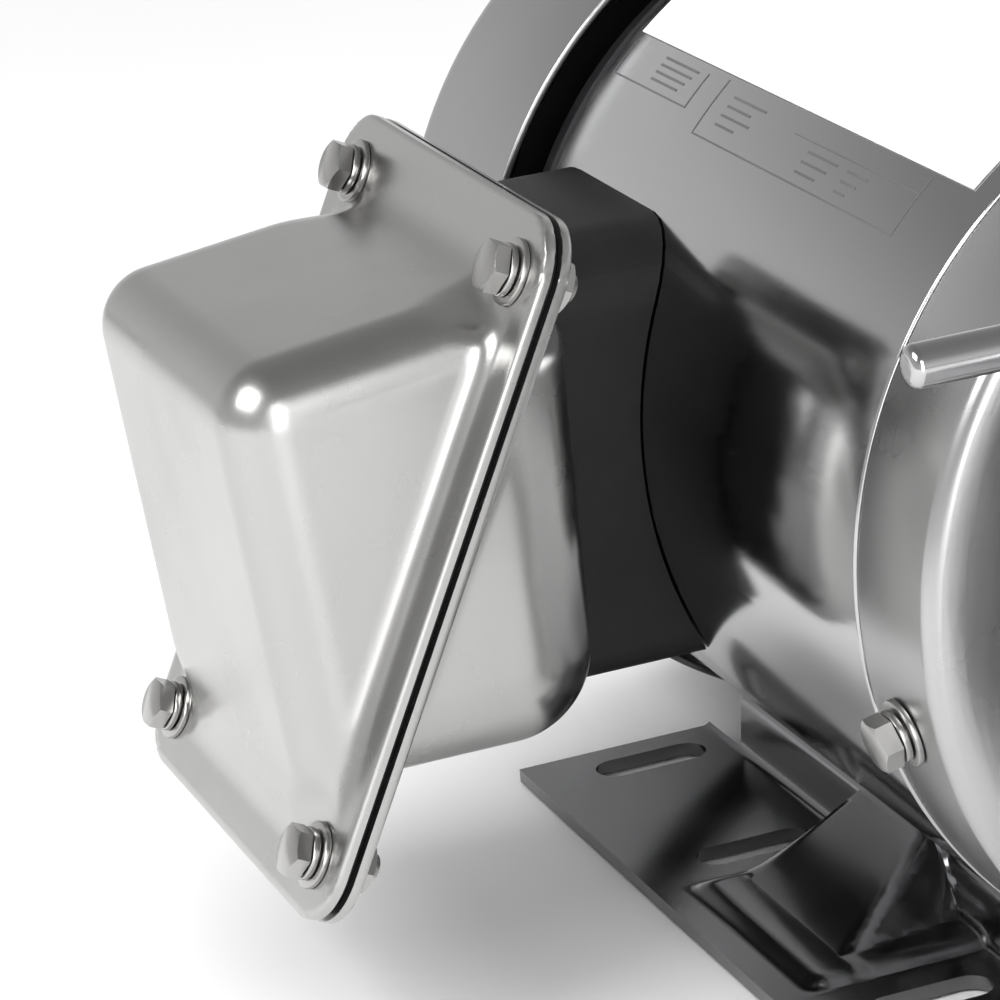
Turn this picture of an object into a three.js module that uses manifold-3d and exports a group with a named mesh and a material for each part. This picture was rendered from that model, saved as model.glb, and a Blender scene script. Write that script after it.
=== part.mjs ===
// Single-wheel bench grinder on a totally enclosed, fan-cooled stainless motor.
// Millimetres, +Z up. The motor axis runs along X, the grinding head is at +X,
// the operator stands at +Y and the conduit box is on the -Y side.
// X = 0 is the joint between the motor frame and the drive end bell.
import * as THREE from 'three';
import { mergeVertices } from 'three/addons/utils/BufferGeometryUtils.js';
import { ConvexGeometry } from 'three/addons/geometries/ConvexGeometry.js';
import Module from 'manifold-3d';

const wasm = await Module();
wasm.setup();

// ---------------------------------------------------------------- sizes
const gap = 0.3; // clearance between pieces that touch
const deg = Math.PI / 180;
const bigSegments = 32; // facets round every large ring, so that nested rings line up

const shaftHeight = 88.9;
const frameRadius = 83.7;
const frameWall = 2;
const frameLength = 149.1;
const frameInner = frameRadius - frameWall;
const frameFar = -frameLength;

const bellWall = 6;
const bellRing = 22.5; // straight length of the drive bell's ring
const bellFillet = 3.6;
const bellFace = 31; // flat front face of the drive bell
const hubRadius = 30;
const hubFace = 43;
const spigot = 6;

const footHalf = 88.2; // half width of the base
const footPlate = 2.7;
const footFar = -162.9;
const footNear = -14.1;
const riserOut = 46; // outer side of the upright that carries the cradle
const slotX = [-152.3, -101.5, -24.7];
const slotY = 63.65;
const slotLength = 23.5;
const slotWidth = 8.7;

const coverRadius = 88; // fan cover
const coverWall = 1.5;
const coverLength = 49.9;
const coverGap = 11.9; // between the frame and the fan cover's open rim
const coverNear = frameFar - coverGap;
const coverFar = coverNear - coverLength;
const ventRadius = 6;

const shaftCore = 14.7;
const driveSeat = 12.5; // shaft radius in the drive bearing
const fanSeat = 8.5; // shaft radius in the fan bearing
const shaftEnd = 7.94; // shaft radius outside the motor
const shaftShoulder = 45.2;
const spindleThread = 6.2;
const statorRadius = frameInner - 2 * gap;
const statorBore = statorRadius - 33.6;
const statorLength = 90;
const statorNear = -30;
const coilLength = 20;

const driveBearing = { bore: driveSeat + gap, outer: 26, width: 15, x: 20 };
const fanBearing = { bore: fanSeat + gap, outer: 20, width: 12, x: frameFar - 22.5 };

const spacerNear = -90;
const spacerFar = -148;
const spacerTop = 42;
const spacerBottom = -41;
const boxBack = -106; // motor side of the conduit box
const boxFront = -172;
const boxFrontLean = 0.096; // the front leans: its foot is nearer the motor
const boxTop = 41; // at the front, rising toward the motor
const boxTopBack = 46.8;
const boxBottom = -38;
const coverBottom = -50; // the cover's front runs down to its flange
const boxNear = -52;
const boxFar = -138;
const boxWall = 1.5;
const boltSpanX = 80.4;
const boltSpanZ = 106.8;
const flangeMargin = 11;
const flangePlate = 1.8;
const gasketPlate = 1.2;
const splitLean = 25.7 * deg; // how far the split between the halves leans
const splitX = (boxNear + boxFar) / 2;
const splitY = -138.5;
const splitZ = 1.4;
const boltRadius = 2.4;
const washerRadius = 6.4;

const wheelRadius = 76;
const wheelWidth = 19;
const wheelBack = 74.3;
const flangeRadius = 28;
const flangeWidth = 4;
const arborBore = spindleThread + gap;
const nutWidth = 9;

const guardBack = 62;
const guardWidth = wheelWidth + 29;
const guardWall = 2;
const guardClearance = 5.3;
const guardInner = wheelRadius + guardClearance;
const guardRadius = guardInner + guardWall;
const guardNear = guardBack + guardWidth;
const mouthLow = -25 * deg;
const mouthHigh = 45 * deg;
const mouthDepth = 55; // radius where the mouth's cut starts
const mountRadius = 50;
const mountTube = 44;

const rodRadius = 3.5;
const rodX = 57;
const rodZ = 59.2;
const rodTail = -98;
const rodHead = 98;
const clampY = -35;

const restGap = 2.5;
const restPlate = 5;
const restDepth = 41.5;
const restPivotY = 104;
const restPivotZ = -12;
const armThickness = 4.2;

// ---------------------------------------------------------------- materials
function material(color, roughness, metalness) {
  return new THREE.MeshStandardMaterial({ color, roughness, metalness });
}
const polished = material(0xc9cacb, 0.12, 1);
const brushed = material(0xbcbdbe, 0.35, 1);
const satin = material(0x9c9d9f, 0.4, 1);
const darkSteel = material(0x6e6f71, 0.3, 1);
const lamination = material(0x55575a, 0.5, 0.9);
const copper = material(0xb5692f, 0.35, 1);
const blackPaint = material(0x26272a, 0.4, 0);
const blackPlastic = material(0x202124, 0.5, 0);
const rubber = material(0x1b1b1c, 0.8, 0);
const whitePaper = material(0xf2f2f0, 0.6, 0);
const abrasive = material(0x7d8084, 0.95, 0);
const clearPlastic = material(0xdfe8ec, 0.08, 0);
const redPlastic = material(0xa3211d, 0.4, 0);

// ---------------------------------------------------------------- solid helpers
function signedVolume(positions, index) {
  const a = new THREE.Vector3();
  const b = new THREE.Vector3();
  const c = new THREE.Vector3();
  let volume = 0;
  for (let i = 0; i < index.count; i += 3) {
    a.fromBufferAttribute(positions, index.getX(i));
    b.fromBufferAttribute(positions, index.getX(i + 1));
    c.fromBufferAttribute(positions, index.getX(i + 2));
    volume += a.dot(b.cross(c));
  }
  return volume;
}

function solid(geometry) {
  const bare = geometry.clone();
  bare.deleteAttribute('normal');
  bare.deleteAttribute('uv');
  const merged = mergeVertices(bare, 1e-4);
  const points = merged.getAttribute('position');
  const triangles = Uint32Array.from(merged.index.array);
  if (signedVolume(points, merged.index) < 0) {
    for (let i = 0; i < triangles.length; i += 3) {
      triangles.subarray(i, i + 2).reverse();
    }
  }
  const mesh = new wasm.Mesh({
    numProp: 3,
    vertProperties: Float32Array.from(points.array),
    triVerts: triangles,
  });
  return new wasm.Manifold(mesh);
}

function geometryOf(shape) {
  const mesh = shape.getMesh();
  const geometry = new THREE.BufferGeometry();
  geometry.setAttribute('position', new THREE.BufferAttribute(mesh.vertProperties, 3));
  geometry.setIndex(new THREE.BufferAttribute(mesh.triVerts, 1));
  geometry.computeVertexNormals();
  return geometry;
}

function join(...shapes) {
  return shapes.reduce((whole, shape) => whole.add(shape));
}

function cut(shape, ...tools) {
  return tools.reduce((whole, tool) => whole.subtract(tool), shape);
}

// A block from one corner to the other.
function block(x0, x1, y0, y1, z0, z1) {
  const geometry = new THREE.BoxGeometry(x1 - x0, y1 - y0, z1 - z0);
  geometry.translate((x0 + x1) / 2, (y0 + y1) / 2, (z0 + z1) / 2);
  return solid(geometry);
}

// A body of revolution about the X axis; the profile is a list of [x, radius].
function turned(profile, segments = 40) {
  const closed = profile[0][1] > 0;
  const points = profile.map(([x, r]) => new THREE.Vector2(r, x));
  if (closed) {
    points.push(points[0].clone());
  }
  const geometry = new THREE.LatheGeometry(points, segments);
  geometry.rotateZ(-90 * deg);
  return solid(geometry);
}

function ring(x0, x1, inner, outer, segments = 40) {
  return turned([[x0, inner], [x1, inner], [x1, outer], [x0, outer]], segments);
}

function disc(x0, x1, radius, segments = 40) {
  return turned([[x0, 0], [x0, radius], [x1, radius], [x1, 0]], segments);
}

// A round bar between two points.
function bar(from, to, radius, segments = 12) {
  const start = new THREE.Vector3(...from);
  const end = new THREE.Vector3(...to);
  const along = end.clone().sub(start);
  const geometry = new THREE.CylinderGeometry(radius, radius, along.length(), segments);
  const up = new THREE.Vector3(0, 1, 0);
  const turn = new THREE.Quaternion().setFromUnitVectors(up, along.clone().normalize());
  geometry.applyQuaternion(turn);
  geometry.translate(...start.add(end).multiplyScalar(0.5).toArray());
  return solid(geometry);
}

// A prism with its outline in the Y-Z plane, from x0 to x1.
function prism(shape, x0, x1, bevel = 0, curveSegments = 4) {
  const geometry = new THREE.ExtrudeGeometry(shape, {
    depth: x1 - x0 - 2 * bevel,
    bevelEnabled: bevel > 0,
    bevelThickness: bevel,
    bevelSize: bevel,
    bevelOffset: -bevel,
    bevelSegments: 2,
    curveSegments,
  });
  geometry.translate(0, 0, bevel);
  // Shape axes (x, y) become (Y, Z) and the depth becomes X.
  const turn = new THREE.Matrix4().makeBasis(
    new THREE.Vector3(0, 1, 0),
    new THREE.Vector3(0, 0, 1),
    new THREE.Vector3(1, 0, 0),
  );
  geometry.applyMatrix4(turn);
  geometry.translate(x0, 0, 0);
  return solid(geometry);
}

function polygon(points) {
  return new THREE.Shape(points.map(([y, z]) => new THREE.Vector2(y, z)));
}

function roundedRectangle(u0, u1, v0, v1, radius) {
  const shape = new THREE.Shape();
  shape.moveTo(u0 + radius, v0);
  shape.absarc(u1 - radius, v0 + radius, radius, -90 * deg, 0, false);
  shape.absarc(u1 - radius, v1 - radius, radius, 0, 90 * deg, false);
  shape.absarc(u0 + radius, v1 - radius, radius, 90 * deg, 180 * deg, false);
  shape.absarc(u0 + radius, v0 + radius, radius, 180 * deg, 270 * deg, false);
  return shape;
}

// A polygon whose corners are eased over the given length.
function softPolygon(points, reach) {
  const corners = points.map(([u, v]) => new THREE.Vector2(u, v));
  const shape = new THREE.Shape();
  corners.forEach((corner, i) => {
    const before = corners.at(i - 1).clone().sub(corner).setLength(reach).add(corner);
    const after = corners[(i + 1) % corners.length].clone().sub(corner).setLength(reach).add(corner);
    if (i === 0) shape.moveTo(before.x, before.y);
    else shape.lineTo(before.x, before.y);
    shape.quadraticCurveTo(corner.x, corner.y, after.x, after.y);
  });
  return shape;
}

// Part of a ring about the X axis, between two angles from +Y toward +Z.
function sector(x0, x1, inner, outer, from, to, segments = 10) {
  const shape = new THREE.Shape();
  shape.absarc(0, 0, outer, from, to, false);
  shape.absarc(0, 0, inner, to, from, true);
  return prism(shape, x0, x1, 0, segments);
}

// A point on a circle about the X axis, as [y, z].
function polar(radius, angle) {
  return [radius * Math.cos(angle), radius * Math.sin(angle)];
}

const grinder = new THREE.Group();

function place(name, shape, look, parent = grinder) {
  const mesh = new THREE.Mesh(geometryOf(shape), look);
  mesh.name = name;
  parent.add(mesh);
  return mesh;
}

// ---------------------------------------------------------------- motor body
const leadHole = { x0: -134, x1: -104, half: 14 };

function motorFrame() {
  const tube = ring(frameFar, 0, frameInner, frameRadius, bigSegments);
  const opening = block(leadHole.x0, leadHole.x1, -frameRadius - 5, -frameInner + 25,
    -leadHole.half, leadHole.half);
  return cut(tube, opening);
}

function driveEndBell() {
  const inner = frameRadius - gap - bellWall;
  const pocket = driveBearing.outer + gap;
  const pocketEnd = driveBearing.x + driveBearing.width + 0.5;
  const rim = frameRadius - gap;
  const shell = turned([
    [gap, rim],
    [bellRing, rim],
    [bellRing + 0.7 * bellFillet, rim - 0.3 * bellFillet],
    [bellRing + bellFillet, rim - bellFillet],
    [bellFace, rim - 24],
    [bellFace, hubRadius + 3],
    [hubFace, hubRadius],
    [hubFace, driveSeat + gap],
    [pocketEnd, driveSeat + gap],
    [pocketEnd, pocket],
    [driveBearing.x, pocket],
    [driveBearing.x, pocket + 5],
    [bellFace - bellWall, rim - 24],
    [bellRing - 5, inner],
    [-spigot, inner],
    [-spigot, frameInner - gap],
    [gap, frameInner - gap],
  ], bigSegments);
  return cut(shell, ...screwAngles.map((angle) => radialBar(bellScrewX, angle,
    inner - 5, rim + 5, bellScrewRadius + gap)));
}

const bellScrewX = 11.5;
const bellScrewRadius = 2.5;
const screwAngles = [0, 1, 2, 3].map((i) => (193 + 90 * i) * deg);

function radialBar(x, angle, from, to, radius, segments = 12) {
  return bar([x, ...polar(from, angle)], [x, ...polar(to, angle)], radius, segments);
}

// A hexagon screw with a split washer and a flat washer, pointing at the axis.
function radialScrew(x, angle, seat, depth) {
  return join(
    radialBar(x, angle, seat - depth, seat + 4, bellScrewRadius, 8),
    radialBar(x, angle, seat + gap, seat + 1.3, 6, 12),
    radialBar(x, angle, seat + 1.2, seat + 2.8, 4.9, 10),
    radialBar(x, angle, seat + 2.7, seat + 6.4, 4.9, 6),
  );
}

function fanEndBell() {
  const pocket = fanBearing.outer + gap;
  const pocketEnd = fanBearing.x - 0.5;
  const inner = frameInner - gap - bellWall;
  const web = fanBearing.x + 5.5;
  const shell = turned([
    [frameFar + spigot, frameInner - gap],
    [frameFar - gap, frameInner - gap],
    [frameFar - gap, frameRadius - gap],
    [frameFar - 3, frameRadius - gap],
    [frameFar - 4.5, frameRadius - 3.5],
    [web - 4, frameRadius - 3.5],
    [web - 6, frameRadius - 10],
    [pocketEnd - 4, fanBearing.outer + 6],
    [pocketEnd - 4, fanSeat + gap],
    [pocketEnd, fanSeat + gap],
    [pocketEnd, pocket],
    [fanBearing.x + fanBearing.width, pocket],
    [fanBearing.x + fanBearing.width, pocket + 6],
    [web, inner - 3],
    [web + 3, inner],
    [frameFar + spigot, inner],
  ], bigSegments);
  const lugs = coverScrewAngles.map((angle) => radialBar(coverScrewX, angle,
    frameRadius - 8, coverRadius - coverWall - 4 * gap, 6, 12));
  const holes = coverScrewAngles.map((angle) => radialBar(coverScrewX, angle,
    frameRadius - 6, coverRadius + 5, bellScrewRadius + gap, 10));
  return cut(join(shell, ...lugs), ...holes);
}

const coverScrewX = coverNear - 7;
const coverScrewAngles = [0, 1, 2].map((i) => (60 + 120 * i) * deg);

function fanCover() {
  const corner = 6;
  const shell = turned([
    [coverFar, 0],
    [coverFar, coverRadius - corner],
    [coverFar + 0.3 * corner, coverRadius - 0.3 * corner],
    [coverFar + corner, coverRadius],
    [coverNear, coverRadius],
    [coverNear, coverRadius - coverWall],
    [coverFar + corner, coverRadius - coverWall],
    [coverFar + coverWall + 0.25 * corner, coverRadius - coverWall - 0.25 * corner],
    [coverFar + coverWall, coverRadius - corner],
    [coverFar + coverWall, 0],
  ], bigSegments);
  const vents = [];
  for (const [radius, count] of [[30, 8], [54, 16]]) {
    for (let i = 0; i < count; i += 1) {
      const centre = polar(radius, (2 * Math.PI * i) / count);
      vents.push(bar([coverFar - 2, ...centre], [coverFar + 4, ...centre], ventRadius, 8));
    }
  }
  const holes = coverScrewAngles.map((angle) => radialBar(coverScrewX, angle,
    coverRadius - 6, coverRadius + 3, bellScrewRadius + gap, 10));
  return cut(shell, ...vents, ...holes);
}

function coverScrew(angle) {
  const seat = coverRadius + gap;
  return join(
    radialBar(coverScrewX, angle, seat - 9, seat + 1, bellScrewRadius, 8),
    radialBar(coverScrewX, angle, seat, seat + 2.4, 5, 12),
  );
}

function nameplate() {
  const from = 52 * deg;
  const to = 130.5 * deg;
  return sector(frameFar + 3, -7, frameRadius + 0.25, frameRadius + 0.65, from, to, 12);
}

// ---------------------------------------------------------------- base
function base() {
  const bottom = -shaftHeight;
  const top = bottom + footPlate;
  const cradleInner = frameRadius + gap;
  const cradleOuter = cradleInner + footPlate;
  const contact = Math.acos((riserOut - 1) / cradleOuter);
  const cradleNear = footNear - 2;
  const cradleFar = frameFar + 1;
  let body = sector(cradleFar, cradleNear, cradleInner, cradleOuter, -180 * deg + contact, -contact, 14);
  for (const side of [-1, 1]) {
    const span = (from, to) => [Math.min(side * from, side * to), Math.max(side * from, side * to)];
    const riserTop = -Math.sqrt(cradleInner ** 2 - (riserOut - footPlate) ** 2) - gap;
    body = join(
      body,
      block(footFar, footNear, ...span(riserOut - footPlate, footHalf), bottom, top),
      block(coverNear + gap, cradleNear, ...span(riserOut - footPlate, riserOut), bottom, riserTop),
      gusset(side, top),
      bar([weldX, side * (riserOut - 1), weldZ], [weldX, side * (riserOut + 0.8), weldZ], 6, 14),
    );
    for (const x of slotX) {
      body = cut(body, footSlot(x, side));
    }
  }
  return body;
}

const weldX = -101;
const weldZ = -78.5;

// The pressed stiffener between the second and the third slot.
function gusset(side, top) {
  const far = slotX[1] + slotWidth / 2 + 5;
  const near = slotX[2] - slotWidth / 2 - 8;
  const outer = riserOut + 31;
  const plinth = 2.2;
  const inner = riserOut - 1;
  const ridgeX = (far + near) / 2 + 6;
  const corners = [
    [far, inner, top - 1], [near, inner, top - 1],
    [far + 3, outer, top - 1], [near, outer, top - 1],
    [far + 2, inner, top + plinth], [near - 2, inner, top + plinth],
    [far + 6, outer - 5, top + plinth], [near - 2, outer - 5, top + plinth],
  ];
  const rib = [
    [far + 8, inner, top + 1], [near - 6, inner, top + 1],
    [ridgeX - 9, inner, top + 15], [ridgeX + 5, inner, top + 15],
    [ridgeX - 3, outer - 12, top + 1], [ridgeX + 4, outer - 12, top + 1],
  ];
  const hull = (points) => {
    const vectors = points.map(([x, y, z]) => new THREE.Vector3(x, side * y, z));
    return solid(new ConvexGeometry(vectors));
  };
  return join(hull(corners), hull(rib));
}

function footSlot(x, side) {
  const half = (slotLength - slotWidth) / 2;
  const low = -shaftHeight - 2;
  const high = -shaftHeight + footPlate + 4;
  const y = side * slotY;
  return join(
    block(x - slotWidth / 2, x + slotWidth / 2, y - half, y + half, low, high),
    bar([x, y - half, low], [x, y - half, high], slotWidth / 2, 16),
    bar([x, y + half, low], [x, y + half, high], slotWidth / 2, 16),
  );
}

// ---------------------------------------------------------------- inside the motor
function statorCore() {
  const slots = 18;
  const depth = 16;
  const shape = new THREE.Shape();
  shape.absarc(0, 0, statorRadius, 0, 2 * Math.PI, false);
  const bore = new THREE.Path();
  for (let i = 0; i < slots; i += 1) {
    const middle = (2 * Math.PI * i) / slots;
    const pitch = (2 * Math.PI) / slots;
    for (const [share, radius] of [[-0.5, 0], [-0.22, 0], [-0.22, depth], [0.22, depth], [0.22, 0]]) {
      const [y, z] = polar(statorBore + radius, middle + share * pitch);
      if (i === 0 && share === -0.5) {
        bore.moveTo(y, z);
      } else {
        bore.lineTo(y, z);
      }
    }
  }
  bore.closePath();
  shape.holes.push(bore);
  return prism(shape, statorNear - statorLength, statorNear, 0, 14);
}

function coil(x0, x1) {
  const inner = statorBore + 2;
  const outer = statorBore + 20;
  return turned([
    [x0, inner], [x1, inner], [x1, outer - 4],
    [x1 - 4, outer], [x0 + 4, outer], [x0, outer - 4],
  ], 24);
}

function outerRace(bearing) {
  return ring(bearing.x + gap, bearing.x + bearing.width, bearing.outer - 4.5, bearing.outer, bigSegments);
}

function innerRace(bearing) {
  return ring(bearing.x + gap, bearing.x + bearing.width, bearing.bore, bearing.bore + 4, 24);
}

function shaft() {
  const fanShoulder = fanBearing.x + fanBearing.width + gap;
  const driveShoulder = driveBearing.x - gap;
  return turned([
    [coverFar + 8, 0],
    [coverFar + 8, fanSeat - 1],
    [fanBearing.x - 8, fanSeat - 1],
    [fanBearing.x - 8, fanSeat],
    [fanShoulder, fanSeat],
    [fanShoulder, shaftCore],
    [driveShoulder, shaftCore],
    [driveShoulder, driveSeat],
    [shaftShoulder, driveSeat],
    [shaftShoulder, shaftEnd],
    [wheelBack - flangeWidth - gap, shaftEnd],
    [wheelBack - flangeWidth - gap, spindleThread],
    [arborTip - 1, spindleThread],
    [arborTip, spindleThread - 1],
    [arborTip, 0],
  ], 24);
}

const outerFlangeX = wheelBack + wheelWidth + gap;
const nutX = outerFlangeX + flangeWidth + gap;
const arborTip = nutX + nutWidth + 1.5;

function rotorCore() {
  return ring(statorNear - statorLength, statorNear, shaftCore + gap, statorBore - 0.9, bigSegments);
}

function coolingFan() {
  const back = fanBearing.x - 13;
  const front = coverFar + 8;
  const parts = [ring(front, back, fanSeat - 1 + gap, 16, 24), ring(back - 2.5, back, 14, 76, 24)];
  for (let i = 0; i < 8; i += 1) {
    const blade = block(front + 1, back - 1, 14, 75, -1.25, 1.25);
    parts.push(blade.rotate([45 * i, 0, 0]));
  }
  return join(...parts);
}

function slinger() {
  return turned([
    [hubFace + gap, driveSeat + gap], [shaftShoulder - 0.2, driveSeat + gap],
    [shaftShoulder - 0.2, driveSeat + 5], [hubFace + gap, driveSeat + 9],
  ], 24);
}

// ---------------------------------------------------------------- conduit box
function conduitSpacer() {
  const chamfer = 8;
  const shape = polygon([
    [spacerFar, spacerBottom], [spacerNear - 3, spacerBottom], [spacerNear, spacerBottom + 3],
    [spacerNear, spacerTop - chamfer], [spacerNear - chamfer, spacerTop], [spacerFar, spacerTop],
  ]);
  const geometry = new THREE.ExtrudeGeometry(shape, { depth: 40, bevelEnabled: false });
  geometry.rotateX(90 * deg); // the outline's second axis becomes Z, the depth runs along -Y
  geometry.translate(0, boxBack + gap + 40, 0);
  const passage = block(leadHole.x0, leadHole.x1, boxBack - 5, 0, -leadHole.half, leadHole.half);
  const drum = disc(spacerFar - 20, spacerNear + 20, frameRadius + gap, 72);
  return cut(solid(geometry), drum, passage);
}

// Everything below is turned into the leaning frame of the split between the halves.
function toSplit(shape) {
  const moved = shape.translate([-splitX, -splitY, -splitZ]);
  return moved.rotate([splitLean / deg, 0, 0]);
}

const boltPlaces = [[-1, 1], [1, 1], [1, -1], [-1, -1]].map(([x, z]) => ({
  x: (x * boltSpanX) / 2,
  z: (z * boltSpanZ) / 2,
}));

function boltBars(y0, y1, radius, segments = 12) {
  return boltPlaces.map(({ x, z }) => bar([x, y0, z], [x, y1, z], radius, segments));
}

// The body of the box down to the given bottom, shrunk by the given inset.
function boxBody(inset, bottom) {
  const foot = boxFront + (boxTop - bottom) * boxFrontLean;
  const outline = softPolygon([
    [foot + inset, bottom + inset],
    [boxBack - inset, bottom + inset],
    [boxBack - inset, boxTopBack - inset],
    [boxFront + inset, boxTop - inset],
  ], 14 - inset);
  return prism(outline, boxFar + inset, boxNear - inset, 5, 4);
}

function boxShell(bottom) {
  const relief = washerRadius + 2;
  const outer = cut(toSplit(boxBody(0, bottom)), ...boltBars(-60, 60, relief, 14));
  const inner = toSplit(boxBody(boxWall, bottom));
  const cavity = cut(inner, ...boltBars(-60, 60, relief + boxWall, 14));
  return { outer, cavity };
}

function splitPlate(y0, y1) {
  const x = boltSpanX / 2 + flangeMargin;
  const z = boltSpanZ / 2 + flangeMargin;
  const shape = roundedRectangle(-x, x, -z, z, flangeMargin);
  const geometry = new THREE.ExtrudeGeometry(shape, {
    depth: y1 - y0, bevelEnabled: false, curveSegments: 4,
  });
  geometry.rotateX(90 * deg);
  geometry.translate(0, y1, 0);
  return cut(solid(geometry), ...boltBars(y0 - 1, y1 + 1, boltRadius + gap, 12));
}

function boxHalf(side) {
  const { outer, cavity } = boxShell(side > 0 ? boxBottom : coverBottom);
  const near = gasketPlate / 2 + gap;
  const far = near + flangePlate;
  const keep = side > 0 ? block(-90, 90, near, 90, -90, 90) : block(-90, 90, -90, -near, -90, 90);
  const flange = side > 0 ? splitPlate(near, far) : splitPlate(-far, -near);
  const body = cut(join(outer.intersect(keep), flange), cavity);
  return body;
}

function gasket() {
  const { cavity } = boxShell(boxBottom);
  return cut(splitPlate(-gasketPlate / 2, gasketPlate / 2), cavity);
}

const glandY = -121;
const glandZ = -19;
const glandThread = 10;

function conduitBoxBase() {
  const lead = toSplit(block(leadHole.x0, leadHole.x1, boxBack - 5, boxBack + 5,
    -leadHole.half, leadHole.half));
  const gland = toSplit(bar([boxFar - 5, glandY, glandZ], [boxFar + 10, glandY, glandZ],
    glandThread + gap, 20));
  return cut(boxHalf(1), lead, gland);
}

// Head, split washer and flat washer outside the cover, shank, and nut behind the base half.
function coverBolt({ x, z }) {
  const seat = gasketPlate / 2 + gap + flangePlate + gap;
  const y = (from, to, radius, segments) => bar([x, from, z], [x, to, z], radius, segments);
  return join(
    y(-seat - 6, seat + 7, boltRadius, 8),
    y(-seat - 1.1, -seat, washerRadius, 12),
    y(-seat - 2.7, -seat - 1, 4.9, 10),
    y(-seat - 5.9, -seat - 2.6, 5.1, 6),
    y(seat, seat + 4.2, 5.1, 6),
  );
}

function terminalBlock() {
  const back = boxBack - boxWall - gap;
  const pitch = 12;
  const middle = leadHole.x1 + 24;
  const body = block(middle - 1.5 * pitch, middle + 1.5 * pitch, back - 12, back, -8, 8);
  const screws = [-1, 0, 1].map((i) => {
    const x = middle + pitch * i;
    return bar([x, back - 15, 0], [x, back - 10, 0], 4, 8);
  });
  return join(body, ...screws);
}

function cableGland() {
  const out = boxFar - gap;
  return turned([
    [boxFar + boxWall + 3, 6], [boxFar + boxWall + 3, glandThread], [out, glandThread],
    [out, 14], [out - 7, 14], [out - 7, 12.5], [out - 18, 12.5], [out - 21, 9.5], [out - 21, 6],
  ], 16);
}

// ---------------------------------------------------------------- switch
const switchX = -80;
const switchHalfX = 24;
const switchHalfZ = 20;
const switchFace = 112;
const rockerHalfX = 7;
const rockerHalfZ = 11;
const rockerPivot = switchFace - 4;
const rockerTilt = -6 * deg; // pressed at the top, which is off

function switchBox() {
  const wall = 2.5;
  const shape = roundedRectangle(switchX - switchHalfX, switchX + switchHalfX,
    -switchHalfZ, switchHalfZ, 5);
  const geometry = new THREE.ExtrudeGeometry(shape, {
    depth: switchFace - 70, bevelEnabled: false, curveSegments: 3,
  });
  geometry.rotateX(90 * deg);
  geometry.translate(0, switchFace, 0);
  const drum = disc(switchX - 60, switchX + 60, frameRadius + gap, 72);
  const inside = block(switchX - switchHalfX + wall, switchX + switchHalfX - wall,
    60, switchFace - wall, -switchHalfZ + wall, switchHalfZ - wall);
  const window = block(switchX - rockerHalfX - gap, switchX + rockerHalfX + gap,
    switchFace - 10, switchFace + 5, -rockerHalfZ - gap, rockerHalfZ + gap);
  return cut(solid(geometry), drum, inside, window);
}

// A rocker drawn level about its pivot, with two faces that rise toward its ends.
function switchRocker() {
  const end = rockerHalfZ - 0.6;
  const front = switchFace - rockerPivot;
  const outline = polygon([
    [-4, -4], [front - 2, -end], [front + 2, -end], [front + 1, 0],
    [front + 2, end], [front - 2, end], [-4, 4],
  ]);
  return prism(outline, switchX - rockerHalfX, switchX + rockerHalfX);
}

// ---------------------------------------------------------------- grinding head
function wheelFlange(x0, wheelSide) {
  const seat = wheelSide > 0 ? x0 + flangeWidth : x0;
  const back = wheelSide > 0 ? x0 : x0 + flangeWidth;
  return turned([
    [back, arborBore], [back, flangeRadius - 6], [seat - wheelSide, flangeRadius],
    [seat, flangeRadius], [seat, arborBore],
  ], 24);
}

function grindingWheel() {
  const edge = 1;
  const end = wheelBack + wheelWidth;
  return turned([
    [wheelBack, arborBore], [wheelBack, wheelRadius - edge], [wheelBack + edge, wheelRadius],
    [end - edge, wheelRadius], [end, wheelRadius - edge], [end, arborBore],
  ], bigSegments);
}

function arborNut() {
  const hexagon = bar([nutX, 0, 0], [nutX + nutWidth, 0, 0], 11, 6);
  return cut(hexagon, bar([nutX - 1, 0, 0], [nutX + nutWidth + 1, 0, 0], arborBore, 24));
}

const mountBack = bellFace + gap;
const mountFront = guardBack - gap;

function guardMount() {
  const plate = 4;
  const inner = 36;
  const ringBody = turned([
    [mountBack, inner], [mountBack, mountRadius], [mountBack + plate, mountRadius],
    [mountBack + plate, mountTube], [mountFront - plate, mountTube],
    [mountFront - plate, mountRadius], [mountFront, mountRadius], [mountFront, inner],
  ], 24);
  return cut(ringBody, ...mountScrewAngles.map((angle) => bar(
    [mountFront - 8, ...polar(mountScrewPitch, angle)],
    [mountFront + 2, ...polar(mountScrewPitch, angle)], 2.3, 8)));
}

const mountScrewPitch = 40;
const mountScrewAngles = [0, 1, 2].map((i) => (90 + 120 * i) * deg);

function mountScrew(angle) {
  const centre = polar(mountScrewPitch, angle);
  const seat = guardBack + guardWall + gap;
  return join(
    bar([mountFront - 7, ...centre], [seat + 1, ...centre], 2, 8),
    bar([seat, ...centre], [seat + 2.5, ...centre], 4, 10),
  );
}

function mouthCut(x0, x1) {
  return sector(x0, x1, mouthDepth, guardRadius + 10, mouthLow, mouthHigh, 3);
}

const lugAngles = [0, 1, 2].map((i) => (90 + 90 * i) * deg);
const lugPitch = guardInner - 5;

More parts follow.
